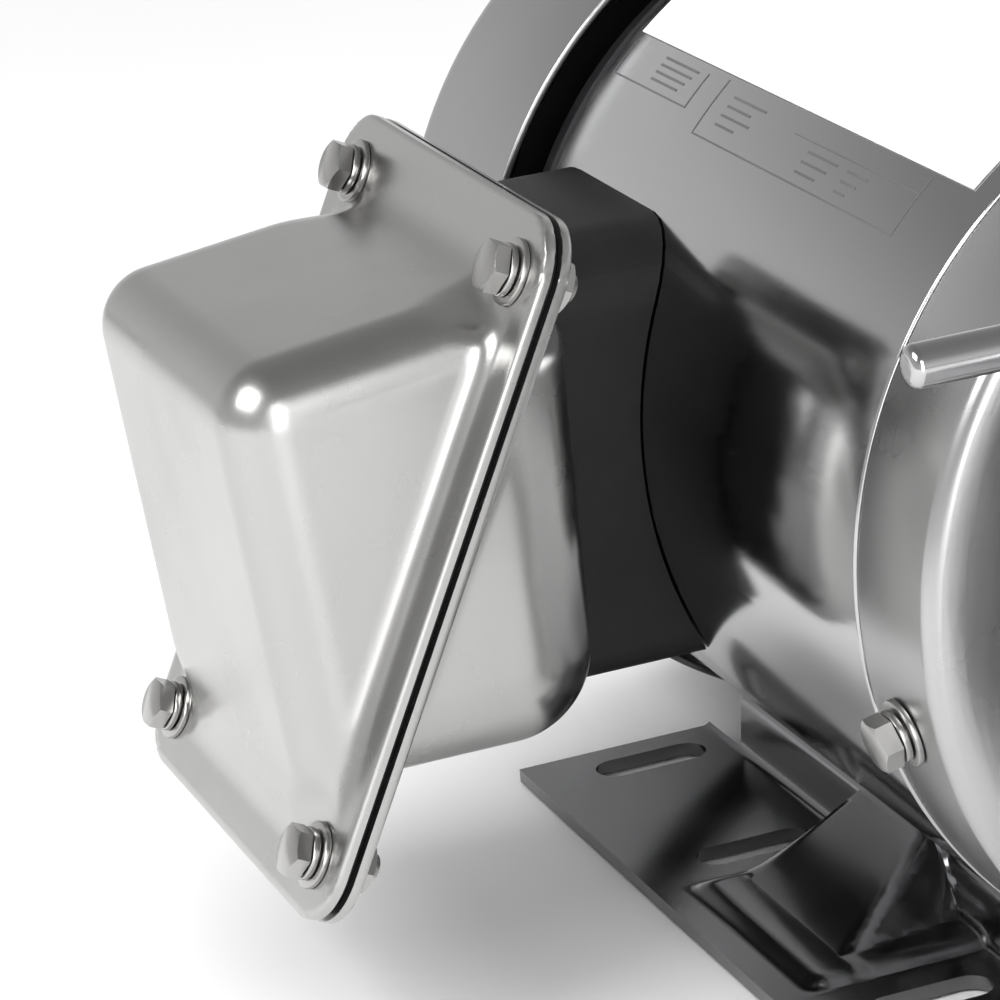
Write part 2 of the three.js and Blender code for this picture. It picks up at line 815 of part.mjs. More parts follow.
function guardShell() {
  const wall = ring(guardBack, guardNear, guardInner, guardRadius, bigSegments);
  const back = ring(guardBack, guardBack + guardWall, 34, guardRadius - 0.5, bigSegments);
  const open = join(wall, back).subtract(mouthCut(guardBack - 1, guardNear + 1));
  const lugs = lugAngles.map((angle) => bar([guardNear - 12, ...polar(lugPitch, angle)],
    [guardNear, ...polar(lugPitch, angle)], 5.5, 12));
  const holes = [
    ...lugAngles.map((angle) => bar([guardNear - 9, ...polar(lugPitch, angle)],
      [guardNear + 2, ...polar(lugPitch, angle)], 2.3, 8)),
    ...mountScrewAngles.map((angle) => bar([guardBack - 2, ...polar(mountScrewPitch, angle)],
      [guardBack + 6, ...polar(mountScrewPitch, angle)], 2.3, 8)),
    bar([guardBack - 2, restKnobY, restKnobZ], [guardBack + 6, restKnobY, restKnobZ], 3.3, 10),
  ];
  return cut(join(open, ...lugs), ...holes);
}

function guardCover() {
  const x0 = guardNear + gap;
  const plate = disc(x0, x0 + guardWall, guardRadius, bigSegments);
  const holes = lugAngles.map((angle) => bar([x0 - 2, ...polar(lugPitch, angle)],
    [x0 + 6, ...polar(lugPitch, angle)], 2.3, 8));
  return cut(plate, mouthCut(x0 - 1, x0 + guardWall + 1), ...holes);
}

function guardCoverScrew(angle) {
  const centre = polar(lugPitch, angle);
  const seat = guardNear + guardWall + 2 * gap;
  return join(
    bar([guardNear - 8, ...centre], [seat + 1, ...centre], 2, 8),
    bar([seat, ...centre], [seat + 2.6, ...centre], 4, 12),
  );
}

function sparkArrester() {
  const inner = guardRadius + gap;
  const x0 = guardBack + 4;
  const x1 = guardNear - 4;
  return join(
    sector(x0, x1, inner, inner + 1.5, mouthHigh - 3 * deg, mouthHigh + 16 * deg, 4),
    sector(x0, x1, wheelRadius + 1.8, inner + 1, mouthHigh - 3 * deg, mouthHigh - 1.4 * deg, 2),
  );
}

// ---------------------------------------------------------------- tool rest
const armX1 = guardBack - gap;
const armX0 = armX1 - armThickness;
const restKnobY = 66;
const restKnobZ = -26;
const pivotRadius = 3;

function toolRestArm() {
  const low = restKnobZ - 8;
  const high = restKnobZ + 8;
  const eye = -restPlate - restPivotZ - 0.4; // stays under the plate as it tilts
  const slotHalf = 12;
  const body = join(
    block(armX0, armX1, restKnobY - 16, restPivotY + eye, low, high),
    block(armX0, armX1, restPivotY - eye, restPivotY + eye, low, restPivotZ),
    bar([armX0, restPivotY, restPivotZ], [armX1, restPivotY, restPivotZ], eye, 24),
  );
  const slot = block(armX0 - 1, armX1 + 1, restKnobY - slotHalf - 2, restKnobY + 4,
    restKnobZ - pivotRadius - gap, restKnobZ + pivotRadius + gap);
  const hole = bar([armX0 - 1, restPivotY, restPivotZ], [armX1 + 1, restPivotY, restPivotZ],
    pivotRadius + gap, 14);
  return cut(body, slot, hole);
}

function toolRestPlate() {
  const inner = wheelRadius + restGap;
  const knuckleX = armX1 + gap;
  const body = join(
    block(armX0, guardNear, inner, inner + restDepth, -restPlate, 0),
    block(knuckleX, knuckleX + 10, restPivotY - 6, restPivotY + 6, restPivotZ - 6, -1),
  );
  const hole = bar([knuckleX - 1, restPivotY, restPivotZ], [knuckleX + 11, restPivotY, restPivotZ],
    pivotRadius + gap, 14);
  return cut(body, hole);
}

function toolRestPivot() {
  const x1 = armX1 + gap + 10;
  return join(
    bar([armX0 - 2, restPivotY, restPivotZ], [x1 + 5, restPivotY, restPivotZ], pivotRadius, 12),
    bar([armX0 - 4, restPivotY, restPivotZ], [armX0 - gap, restPivotY, restPivotZ], 5, 6),
    bar([x1 + gap, restPivotY, restPivotZ], [x1 + 5, restPivotY, restPivotZ], 5, 6),
  );
}

function toolRestKnob() {
  return join(
    bar([armX0 - 4, restKnobY, restKnobZ], [guardBack + 5, restKnobY, restKnobZ], pivotRadius, 12),
    bar([armX0 - 17, restKnobY, restKnobZ], [armX0 - gap, restKnobY, restKnobZ], 9, 16),
  );
}

// ---------------------------------------------------------------- eye shield
const clampX0 = 50.5;
const clampHalf = 10;
const clampHead = guardBack - rodX - 2 * gap; // turns clear of the guard
const eyeRadius = 8;
const shieldPivot = 2.5;
const shieldTilt = 25 * deg;
const shieldX0 = rodX + rodRadius + gap;
const shieldX1 = guardNear + 8;
const shieldTop = -12;
const shieldLow = -50;
const shieldHalf = 2.5;
const shieldRim = 6;

function rodClamp() {
  const body = block(clampX0, guardBack - gap, clampY - clampHalf, clampY + clampHalf,
    rodZ - 8.5, rodZ + 10);
  const bore = bar([rodX, clampY - 20, rodZ], [rodX, clampY + 20, rodZ], rodRadius + gap, 20);
  const screw = bar([rodX, clampY, rodZ], [rodX, clampY, rodZ + 20], pivotRadius + gap, 12);
  return cut(body, bore, screw);
}

function clampScrew() {
  const bottom = rodZ + rodRadius + gap;
  const top = rodZ + 10 + gap;
  return join(
    bar([rodX, clampY, bottom], [rodX, clampY, top + 2], pivotRadius, 12),
    bar([rodX, clampY, top], [rodX, clampY, top + 5], clampHead, 12),
    block(rodX - 1.5, rodX + 1.5, clampY - clampHead, clampY + clampHead, top + 4, top + 14),
  );
}

function shieldRod() {
  const tip = 2.6;
  const rod = bar([rodX, rodTail + tip, rodZ], [rodX, rodHead - 5.5, rodZ], rodRadius, 16);
  const cap = new THREE.SphereGeometry(rodRadius, 16, 8);
  cap.scale(1, tip / rodRadius, 1);
  cap.translate(rodX, rodTail + tip, rodZ);
  const eye = bar([rodX - 3, rodHead, rodZ], [rodX + 3, rodHead, rodZ], eyeRadius, 20);
  const hole = bar([rodX - 8, rodHead, rodZ], [rodX + 8, rodHead, rodZ], shieldPivot + gap, 12);
  return cut(join(rod, solid(cap), eye), hole);
}

function shieldScrew() {
  const at = (x) => [x, rodHead, rodZ];
  return join(
    bar(at(rodX - 8), at(shieldX0 + shieldRim + 5), shieldPivot, 12),
    bar(at(rodX - 8), at(rodX - 3 - gap), 4.6, 6),
    bar(at(shieldX0 + shieldRim + gap), at(shieldX0 + shieldRim + 4.5), 4.6, 6),
  );
}

// The frame and lens are drawn upright about the pivot and placed by their group's tilt.
function shieldFrame() {
  const rim = join(
    block(shieldX0, shieldX1, -shieldHalf, shieldHalf, shieldLow, shieldTop),
    block(shieldX0, shieldX0 + shieldRim, -shieldHalf, shieldHalf, shieldTop - 1, 0),
    bar([shieldX0, 0, 0], [shieldX0 + shieldRim, 0, 0], 6, 16),
  );
  const window = block(shieldX0 + shieldRim, shieldX1 - shieldRim, -9, 9,
    shieldLow + shieldRim, shieldTop - shieldRim);
  const groove = block(shieldX0 + shieldRim - 2, shieldX1 - shieldRim + 2, -lensHalf - gap,
    lensHalf + gap, shieldLow + shieldRim - 2, shieldTop + 5);
  const hole = bar([shieldX0 - 2, 0, 0], [shieldX0 + shieldRim + 2, 0, 0], shieldPivot + gap, 12);
  return cut(rim, window, groove, hole);
}

const lensHalf = 1;

function shieldLens() {
  const inset = shieldRim - 2 + gap;
  return block(shieldX0 + inset, shieldX1 - inset, -lensHalf, lensHalf, shieldLow + inset,
    shieldTop + 2);
}

// ---------------------------------------------------------------- assembly
place('motor_frame', motorFrame(), polished);
place('base', base(), darkSteel);
place('drive_end_bell', driveEndBell(), brushed);
place('fan_end_bell', fanEndBell(), blackPaint);
place('fan_cover', fanCover(), brushed);
coverScrewAngles.forEach((angle, i) => place(`fan_cover_screw_${i + 1}`, coverScrew(angle), satin));
screwAngles.forEach((angle, i) => place(`end_bell_screw_${i + 1}`,
  radialScrew(bellScrewX, angle, frameRadius - gap, 9), satin));
place('stator_core', statorCore(), lamination);
place('drive_coil', coil(statorNear + gap, statorNear + coilLength), copper);
place('fan_coil', coil(statorNear - statorLength - coilLength, statorNear - statorLength - gap), copper);
place('drive_bearing_outer', outerRace(driveBearing), satin);
place('fan_bearing_outer', outerRace(fanBearing), satin);
place('label_plate', nameplate(), whitePaper);

place('shaft', shaft(), satin);
place('rotor_core', rotorCore(), lamination);
place('cooling_fan', coolingFan(), blackPlastic);
place('drive_bearing_inner', innerRace(driveBearing), satin);
place('fan_bearing_inner', innerRace(fanBearing), satin);
place('shaft_slinger', slinger(), rubber);
place('inner_wheel_flange', wheelFlange(wheelBack - flangeWidth - gap, 1), satin);
place('grinding_wheel', grindingWheel(), abrasive);
place('outer_wheel_flange', wheelFlange(outerFlangeX, -1), satin);
place('arbor_nut', arborNut(), satin);

place('conduit_spacer', conduitSpacer(), blackPlastic);
const split = new THREE.Group();
split.position.set(splitX, splitY, splitZ);
split.rotation.x = -splitLean;
grinder.add(split);
place('conduit_box_base', conduitBoxBase(), polished, split);
place('conduit_gasket', gasket(), rubber, split);
place('conduit_box_cover', boxHalf(-1), polished, split);
boltPlaces.forEach((spot, i) => place(`conduit_bolt_${i + 1}`, coverBolt(spot), satin, split));
place('terminal_block', terminalBlock(), blackPlastic);
const gland = new THREE.Group();
gland.position.set(0, glandY, glandZ);
grinder.add(gland);
place('cable_gland', cableGland(), blackPlastic, gland);

place('switch_box', switchBox(), blackPlastic);
const rocker = new THREE.Group();
rocker.position.set(0, rockerPivot, 0);
rocker.rotation.x = rockerTilt;
grinder.add(rocker);
place('switch_rocker', switchRocker(), redPlastic, rocker);

place('guard_mount', guardMount(), blackPaint);
mountScrewAngles.forEach((angle, i) => place(`guard_mount_screw_${i + 1}`, mountScrew(angle), satin));
place('guard_shell', guardShell(), brushed);
place('guard_cover', guardCover(), brushed);
lugAngles.forEach((angle, i) => place(`guard_cover_screw_${i + 1}`, guardCoverScrew(angle), satin));
place('spark_arrester', sparkArrester(), satin);

place('tool_rest_arm', toolRestArm(), satin);
place('tool_rest_plate', toolRestPlate(), satin);
place('tool_rest_pivot', toolRestPivot(), satin);
place('tool_rest_knob', toolRestKnob(), blackPlastic);

place('rod_clamp', rodClamp(), satin);
place('rod_clamp_screw', clampScrew(), satin);
place('eye_shield_rod', shieldRod(), polished);
place('eye_shield_screw', shieldScrew(), satin);
const shield = new THREE.Group();
shield.position.set(0, rodHead, rodZ);
shield.rotation.x = shieldTilt;
grinder.add(shield);
place('eye_shield_frame', shieldFrame(), blackPlastic, shield);
place('eye_shield_lens', shieldLens(), clearPlastic, shield);

// The base stands on Z = 0, and the origin is under the middle of the whole grinder.
grinder.updateMatrixWorld(true);
const extent = new THREE.Box3().setFromObject(grinder, true);
const middle = extent.getCenter(new THREE.Vector3());
grinder.position.set(-middle.x, -middle.y, -extent.min.z);

export default grinder;
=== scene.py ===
"""The looks of a single-wheel bench grinder on a polished stainless motor.

Everything is worked out in the motor's own frame: millimetres, X along the motor axis from the joint
between the frame and the drive end bell, -Y toward the conduit box, +Z up, with the axis at Y = Z = 0.
"""
import math

import bmesh
import bpy
import numpy as np
from mathutils import Matrix, Vector


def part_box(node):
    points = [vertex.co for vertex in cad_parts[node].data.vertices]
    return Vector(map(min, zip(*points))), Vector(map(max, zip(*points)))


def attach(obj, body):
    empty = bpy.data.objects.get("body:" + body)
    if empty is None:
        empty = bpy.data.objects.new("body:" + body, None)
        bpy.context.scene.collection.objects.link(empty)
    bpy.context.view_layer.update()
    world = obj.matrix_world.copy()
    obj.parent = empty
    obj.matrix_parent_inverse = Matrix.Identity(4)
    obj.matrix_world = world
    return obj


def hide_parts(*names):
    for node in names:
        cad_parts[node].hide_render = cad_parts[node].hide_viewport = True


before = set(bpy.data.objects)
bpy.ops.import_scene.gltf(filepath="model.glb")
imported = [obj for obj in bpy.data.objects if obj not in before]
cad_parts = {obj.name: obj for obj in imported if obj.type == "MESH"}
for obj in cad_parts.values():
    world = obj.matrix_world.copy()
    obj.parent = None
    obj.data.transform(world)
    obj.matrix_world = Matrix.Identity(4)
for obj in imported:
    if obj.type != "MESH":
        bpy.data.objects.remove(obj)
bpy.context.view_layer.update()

MM = 0.001
TAU = 2 * math.pi
DEG = math.pi / 180

frame_low, frame_high = (Vector(corner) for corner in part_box("motor_frame"))
JOINT_X = frame_high.x
AXIS_Y = (frame_low.y + frame_high.y) / 2
AXIS_Z = (frame_low.z + frame_high.z) / 2


def at(x, y, z):
    """A point of the motor's frame, in millimetres, as a place in the row frame."""
    return Vector((JOINT_X + x * MM, AXIS_Y + y * MM, AXIS_Z + z * MM))


def box_of(node):
    """(lowest, highest) corner of a CAD node in the motor's frame, in millimetres."""
    low, high = (Vector(corner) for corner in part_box(node))
    origin = at(0, 0, 0)
    return (low - origin) / MM, (high - origin) / MM


# ---------------------------------------------------------------- materials
def start_material(name, color, roughness, metallic):
    look = bpy.data.materials.new(name)
    look.use_nodes = True
    shader = look.node_tree.nodes["Principled BSDF"]
    shader.inputs["Base Color"].default_value = (*color, 1)
    shader.inputs["Roughness"].default_value = roughness
    shader.inputs["Metallic"].default_value = metallic
    return look, shader


def add(look, kind, **values):
    node = look.node_tree.nodes.new(kind)
    for key, value in values.items():
        if key in node.inputs:
            node.inputs[key].default_value = value
        else:
            setattr(node, key, value)
    return node


def link(look, a, out, b, into):
    look.node_tree.links.new(a.outputs[out], b.inputs[into])


def stretched_noise(look, scale, stretch, detail=3.0):
    """Noise in object space, drawn out along the axes with a small stretch factor."""
    place = add(look, "ShaderNodeTexCoord")
    mapping = add(look, "ShaderNodeMapping")
    mapping.inputs["Scale"].default_value = stretch
    noise = add(look, "ShaderNodeTexNoise", Scale=scale, Detail=detail)
    link(look, place, "Object", mapping, "Vector")
    link(look, mapping, "Vector", noise, "Vector")
    return noise


def ramp(look, source, out, low, high, start=0.3, end=0.7):
    """Maps a noise to the values from low to high."""
    node = add(look, "ShaderNodeMapRange")
    node.inputs["From Min"].default_value = start
    node.inputs["From Max"].default_value = end
    node.inputs["To Min"].default_value = low
    node.inputs["To Max"].default_value = high
    link(look, source, out, node, "Value")
    return node


def color_mix(look, shader, source, first, second):
    node = add(look, "ShaderNodeMix", data_type="RGBA")
    node.inputs[6].default_value = (*first, 1)
    node.inputs[7].default_value = (*second, 1)
    look.node_tree.links.new(source.outputs[0], node.inputs[0])
    look.node_tree.links.new(node.outputs[2], shader.inputs["Base Color"])


def bump(look, shader, source, out, strength, distance):
    node = add(look, "ShaderNodeBump", Strength=strength, Distance=distance)
    link(look, source, out, node, "Height")
    link(look, node, "Normal", shader, "Normal")


def metal(name, color, roughness, spread, grain=(1, 1, 1), grain_scale=300.0, grain_depth=0.05):
    """Bare metal: cloudy roughness, faint smudges in the colour and a fine grain."""
    look, shader = start_material(name, color, roughness[0], 1.0)
    clouds = stretched_noise(look, 28.0, (1, 1, 1), 4.0)
    rough = ramp(look, clouds, "Fac", roughness[0], roughness[1])
    link(look, rough, "Result", shader, "Roughness")
    smudge = stretched_noise(look, 9.0, (1, 1, 1), 2.0)
    tone = ramp(look, smudge, "Fac", 0.0, 1.0)
    darker = tuple(c * (1 - spread) for c in color)
    color_mix(look, shader, tone, color, darker)
    lines = stretched_noise(look, grain_scale, grain, 2.0)
    bump(look, shader, lines, "Fac", grain_depth, 0.0002)
    return look


def coated(name, color, roughness, texture_scale, depth, second=None, shine=0.5):
    """Paint, plastic or rubber with a fine moulded texture."""
    look, shader = start_material(name, color, roughness[0], 0.0)
    shader.inputs["Specular IOR Level"].default_value = shine
    clouds = stretched_noise(look, 35.0, (1, 1, 1), 3.0)
    rough = ramp(look, clouds, "Fac", roughness[0], roughness[1])
    link(look, rough, "Result", shader, "Roughness")
    tone = ramp(look, clouds, "Fac", 0.0, 1.0)
    color_mix(look, shader, tone, color, second or tuple(min(1, c * 1.35 + 0.004) for c in color))
    grain = stretched_noise(look, texture_scale, (1, 1, 1), 2.0)
    bump(look, shader, grain, "Fac", depth, 0.0003)
    return look


def abrasive_look():
    """Vitrified grit: light and dark grains with open pores."""
    look, shader = start_material("vitrified_abrasive", (0.2, 0.21, 0.22), 0.9, 0.0)
    place = add(look, "ShaderNodeTexCoord")
    cells = add(look, "ShaderNodeTexVoronoi", Scale=1400.0)
    link(look, place, "Object", cells, "Vector")
    tone = ramp(look, cells, "Distance", 0.0, 1.0, 0.1, 0.8)
    color_mix(look, shader, tone, (0.34, 0.35, 0.37), (0.1, 0.105, 0.115))
    bump(look, shader, cells, "Distance", 0.5, 0.0005)
    return look


def clear_look():
    look, shader = start_material("clear_polycarbonate", (0.94, 0.97, 0.98), 0.04, 0.0)
    shader.inputs["Transmission Weight"].default_value = 0.95
    shader.inputs["IOR"].default_value = 1.58
    haze = stretched_noise(look, 40.0, (1, 1, 6), 3.0)
    rough = ramp(look, haze, "Fac", 0.03, 0.08)
    link(look, rough, "Result", shader, "Roughness")
    return look


MIRROR = metal("polished_stainless", (0.52, 0.52, 0.525), (0.1, 0.17), 0.06, (1, 14, 14), 60.0, 0.03)
PRESSED = metal("pressed_stainless", (0.5, 0.498, 0.49), (0.2, 0.32), 0.1, (1, 1, 1), 45.0, 0.05)
EDGE = metal("sheared_stainless", (0.7, 0.7, 0.7), (0.14, 0.26), 0.08, (1, 1, 1), 240.0, 0.08)
TURNED = metal("turned_stainless", (0.5, 0.5, 0.5), (0.24, 0.34), 0.07, (40, 1, 1), 90.0, 0.1)
SPUN = metal("spun_stainless", (0.46, 0.46, 0.465), (0.26, 0.36), 0.08, (30, 1, 1), 70.0, 0.08)
FOOT = metal("base_stainless", (0.2, 0.2, 0.205), (0.13, 0.24), 0.25, (1, 1, 1), 60.0, 0.05)
BOLT = metal("bolt_stainless", (0.48, 0.475, 0.465), (0.18, 0.3), 0.12, (1, 1, 1), 500.0, 0.08)
LAMINATION = metal("lamination_steel", (0.3, 0.3, 0.32), (0.4, 0.55), 0.2, (200, 1, 1), 10.0, 0.3)
COPPER = metal("winding_copper", (0.62, 0.27, 0.12), (0.3, 0.42), 0.3, (1, 6, 6), 260.0, 0.5)
BLACK_PAINT = coated("black_paint", (0.012, 0.012, 0.013), (0.3, 0.42), 700.0, 0.12, shine=0.2)
BLACK_PLASTIC = coated("black_moulding", (0.011, 0.011, 0.0115), (0.4, 0.52), 900.0, 0.15, shine=0.16)
RUBBER = coated("black_rubber", (0.008, 0.008, 0.008), (0.7, 0.85), 500.0, 0.2, shine=0.15)
WHITE = coated("label_film", (0.86, 0.86, 0.85), (0.38, 0.46), 200.0, 0.02, (0.82, 0.82, 0.81))
INK = coated("etched_mark", (0.09, 0.09, 0.095), (0.5, 0.6), 400.0, 0.05)
RED = coated("red_moulding", (0.45, 0.02, 0.015), (0.22, 0.3), 500.0, 0.05)
ABRASIVE = abrasive_look()
CLEAR = clear_look()


# ---------------------------------------------------------------- mesh helpers
def piece(name, points, faces, look, slot, stands_for=(), body="motor", sharp=32.0):
    """A new object from points in the motor's frame; it stands for the named CAD nodes."""
    mesh = bpy.data.meshes.new(name)
    mesh.from_pydata([at(*p) for p in points], [], faces)
    tidy = bmesh.new()
    tidy.from_mesh(mesh)
    bmesh.ops.remove_doubles(tidy, verts=tidy.verts, dist=2e-6)
    bmesh.ops.recalc_face_normals(tidy, faces=tidy.faces)
    tidy.to_mesh(mesh)
    tidy.free()
    obj = bpy.data.objects.new(name, mesh)
    bpy.context.scene.collection.objects.link(obj)
    mesh.materials.append(look)
    smooth(obj, sharp)
    if body:
        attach(obj, body)
        for node in stands_for:
            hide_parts(node)
    return obj


def smooth(obj, sharp=32.0):
    mesh = obj.data
    mesh.polygons.foreach_set("use_smooth", [True] * len(mesh.polygons))
    mesh.set_sharp_from_angle(angle=sharp * DEG)
    mesh.update()


def bake_modifiers(obj):
    """Replaces the object's mesh by its modified one."""
    graph = bpy.context.evaluated_depsgraph_get()
    made = bpy.data.meshes.new_from_object(obj.evaluated_get(graph))
    obj.modifiers.clear()
    obj.data = made


def carve(obj, *tools, operation="DIFFERENCE"):
    """Cuts scratch objects out of obj and deletes them."""
    for tool in tools:
        cut = obj.modifiers.new("cut", "BOOLEAN")
        cut.operation = operation
        cut.solver = "EXACT"
        cut.object = tool
        bpy.context.view_layer.update()
        bake_modifiers(obj)
    for tool in tools:
        bpy.data.objects.remove(tool, do_unlink=True)
    smooth(obj)


def soften(obj, width, segments=2, limit=32.0):
    """Rounds the sharp edges by a width in millimetres."""
    bevel = obj.modifiers.new("bevel", "BEVEL")
    bevel.width = width * MM
    bevel.segments = segments
    bevel.limit_method = "ANGLE"
    bevel.angle_limit = limit * DEG
    bevel.harden_normals = False
    bpy.context.view_layer.update()
    bake_modifiers(obj)
    smooth(obj, 40.0)


def axes_for(direction):
    """Two directions square to the given one."""
    along = Vector(direction).normalized()
    helper = Vector((0, 0, 1)) if abs(along.z) < 0.9 else Vector((1, 0, 0))
    side = along.cross(helper).normalized()
    return along, side, along.cross(side)


class Build:
    """Gathers closed shells, in the motor's frame, for one object."""

    def __init__(self):
        self.points = []
        self.faces = []

    def add(self, points, faces):
        start = len(self.points)
        self.points += [tuple(p) for p in points]
        self.faces += [tuple(start + i for i in face) for face in faces]
        return self

    def spun(self, profile, origin=(0, 0, 0), direction=(1, 0, 0), segments=128, arc=1.0, lift=0.0):
        """Revolves a closed outline of (along, radius); arc below 1 leaves a gap."""
        along, side, other = axes_for(direction)
        base = Vector(origin)
        whole = arc >= 1
        count = segments if whole else segments + 1
        rings = []
        for i in range(count):
            angle = TAU * arc * i / segments
            out = side * math.cos(angle) + other * math.sin(angle)
            shift = lift * i / segments
            rings.append([base + along * (a + shift) + out * r for a, r in profile])
        size = len(profile)
        points = [p for ring in rings for p in ring]
        faces = []
        for i in range(count if whole else count - 1):
            j = (i + 1) % count
            for k in range(size):
                m = (k + 1) % size
                faces.append((i * size + k, i * size + m, j * size + m, j * size + k))
        if not whole:
            faces.append(tuple(range(size)))
            faces.append(tuple((count - 1) * size + k for k in reversed(range(size))))
        return self.add(points, faces)

    def hexagon(self, origin, direction, radius, height, segments=48, crown=0.12):
        """A hexagon head with a chamfered top; radius is over the corners."""
        along, side, other = axes_for(direction)
        base = Vector(origin)
        flat = radius * math.cos(math.pi / 6)
        cap = flat * 0.96
        rows = [[], [], []]
        for i in range(segments):
            angle = TAU * i / segments
            turn = (angle % (math.pi / 3)) - math.pi / 6
            reach = flat / math.cos(turn)
            out = side * math.cos(angle) + other * math.sin(angle)
            drop = (reach - cap) * 0.55
            rows[0].append(base + out * reach)
            rows[1].append(base + along * (height - drop) + out * reach)
            rows[2].append(base + along * height + out * cap)
        points = [p for row in rows for p in row]
        points.append(base + along * (height + crown))
        top = len(points) - 1
        faces = [tuple(reversed(range(segments)))]
        for row in range(2):
            for i in range(segments):
                j = (i + 1) % segments
                a = row * segments
                faces.append((a + i, a + j, a + segments + j, a + segments + i))
        for i in range(segments):
            faces.append((2 * segments + i, 2 * segments + (i + 1) % segments, top))
        return self.add(points, faces)

    def make(self, name, look, slot, stands_for=(), body="motor", sharp=32.0):
        return piece(name, self.points, self.faces, look, slot, stands_for, body, sharp)


def rounded(corners, closed=True, steps=5):
    """An outline with its corners rounded: corners are (a, b, radius)."""
    outline = []
    count = len(corners)
    for i, (a, b, radius) in enumerate(corners):
        here = Vector((a, b))
        if radius <= 0 or (not closed and i in (0, count - 1)):
            outline.append((a, b))
            continue
        before = Vector(corners[i - 1][:2]) - here
        after = Vector(corners[(i + 1) % count][:2]) - here
        angle = before.angle(after)
        reach = min(radius / math.tan(angle / 2), before.length * 0.49, after.length * 0.49)
        true_radius = reach * math.tan(angle / 2)
        start = here + before.normalized() * reach
        middle = here + (before.normalized() + after.normalized()).normalized() * (
            true_radius / math.sin(angle / 2))
        first = start - middle
        end = here + after.normalized() * reach - middle
        sweep = math.atan2(first.x * end.y - first.y * end.x, first.dot(end))
        for step in range(steps + 1):
            turn = Matrix.Rotation(sweep * step / steps, 2)
            point = middle + turn @ first
            outline.append((point.x, point.y))
    return outline


def prism_faces(count):
    """The faces of a prism whose points are one outline of count points and then the other."""
    ends = [tuple(range(count)), tuple(reversed(range(count, 2 * count)))]
    return ends + [(i, (i + 1) % count, count + (i + 1) % count, count + i) for i in range(count)]


def slab(name, outline, low, high, axis, look, slot, stands_for=(), body="motor", edge=0.4):
    """A plate with the given outline, thick along one axis, with rounded edges.

    The outline's two coordinates are the other two axes in X, Y, Z order."""
    def spot(u, v, w):
        return {"x": (w, u, v), "y": (u, w, v), "z": (u, v, w)}[axis]
    points = [spot(u, v, w) for w in (low, high) for u, v in outline]
    obj = piece(name, points, prism_faces(len(outline)), look, slot, stands_for, body)
    if edge:
        soften(obj, edge)
    return obj


def rod_tool(start, end, radius, segments=40):
    """A scratch cylinder for cutting holes."""
    direction = Vector(end) - Vector(start)
    profile = [(0, 0), (direction.length, 0), (direction.length, radius), (0, radius)]
    return Build().spun(profile, start, direction, segments).make("tool", BOLT, "", body=None)


def block_tool(low, high):
    """A scratch block between two corners."""
    (x0, y0, z0), (x1, y1, z1) = low, high
    points = [(x, y, z) for x in (x0, x1) for y in (y0, y1) for z in (z0, z1)]
    faces = [(0, 1, 3, 2), (4, 6, 7, 5), (0, 4, 5, 1), (2, 3, 7, 6), (0, 2, 6, 4), (1, 5, 7, 3)]
    return piece("tool", points, faces, BOLT, "", body=None)


def polar(radius, degrees):
    """The (y, z) of a point round the motor's axis, the angle going from +Y toward +Z."""
    return radius * math.cos(degrees * DEG), radius * math.sin(degrees * DEG)


# ---------------------------------------------------------------- a surface through a field
def surface_net(xs, ys, zs, field):
    """Quads on the zero level of a field over a grid, negative inside."""
    shape = np.array(field.shape) - 1
    total = np.zeros((*shape, 3))
    count = np.zeros(shape)
    grid = np.stack(np.meshgrid(xs, ys, zs, indexing="ij"), axis=-1)
    corners = [(i, j, k) for i in (0, 1) for j in (0, 1) for k in (0, 1)]

    def part(array, corner):
        return array[tuple(slice(c, c + n) for c, n in zip(corner, shape))]

    for first in corners:
        for axis in range(3):
            if first[axis]:
                continue
            second = tuple(1 if a == axis else c for a, c in enumerate(first))
            fa, fb = part(field, first), part(field, second)
            crosses = (fa < 0) != (fb < 0)
            share = np.where(crosses, fa / np.where(crosses, fa - fb, 1), 0)[..., None]
            spot = part(grid, first) * (1 - share) + part(grid, second) * share
            total += spot * crosses[..., None]
            count += crosses
    live = count > 0
    index = np.full(tuple(shape), -1)
    index[live] = np.arange(live.sum())
    points = total[live] / count[live][:, None]
    quads = []
    for axis in range(3):
        others = [a for a in range(3) if a != axis]
        low = [slice(1, -1)] * 3
        low[axis] = slice(0, -1)
        high = list(low)
        high[axis] = slice(1, None)
        fa, fb = field[tuple(low)], field[tuple(high)]
        where = np.argwhere((fa < 0) != (fb < 0))
        start = where + np.array([0 if a == axis else 1 for a in range(3)])
        around = []
        for du, dv in ((0, 0), (-1, 0), (-1, -1), (0, -1)):
            cell = start.copy()
            cell[:, others[0]] += du
            cell[:, others[1]] += dv
            around.append(index[cell[:, 0], cell[:, 1], cell[:, 2]])
        quads.append(np.stack(around, axis=1))
    faces = np.concatenate(quads)
    return points, faces[(faces >= 0).all(axis=1)]


def smooth_max(a, b, blend):
    """The larger of two fields, with a rounded change from one to the other."""
    h = np.clip(0.5 + 0.5 * (a - b) / blend, 0, 1)
    return b * (1 - h) + a * h + blend * h * (1 - h)


def smooth_min(a, b, blend):
    return -smooth_max(-a, -b, blend)


# ---------------------------------------------------------------- motor body
DRUM = (frame_high.z - frame_low.z) / 2 / MM
FRAME_LENGTH = (frame_high.x - frame_low.x) / MM
SHEET = 2.0
LEAD_FROM, LEAD_TO, LEAD_HALF = 14, 44, 14


def lead_tool(y0, y1):
    """A scratch block for the leads' opening through the spacer and the drum."""
    x = box_of("conduit_spacer")[0].x
    return block_tool((x + LEAD_FROM, y0, -LEAD_HALF), (x + LEAD_TO, y1, LEAD_HALF))


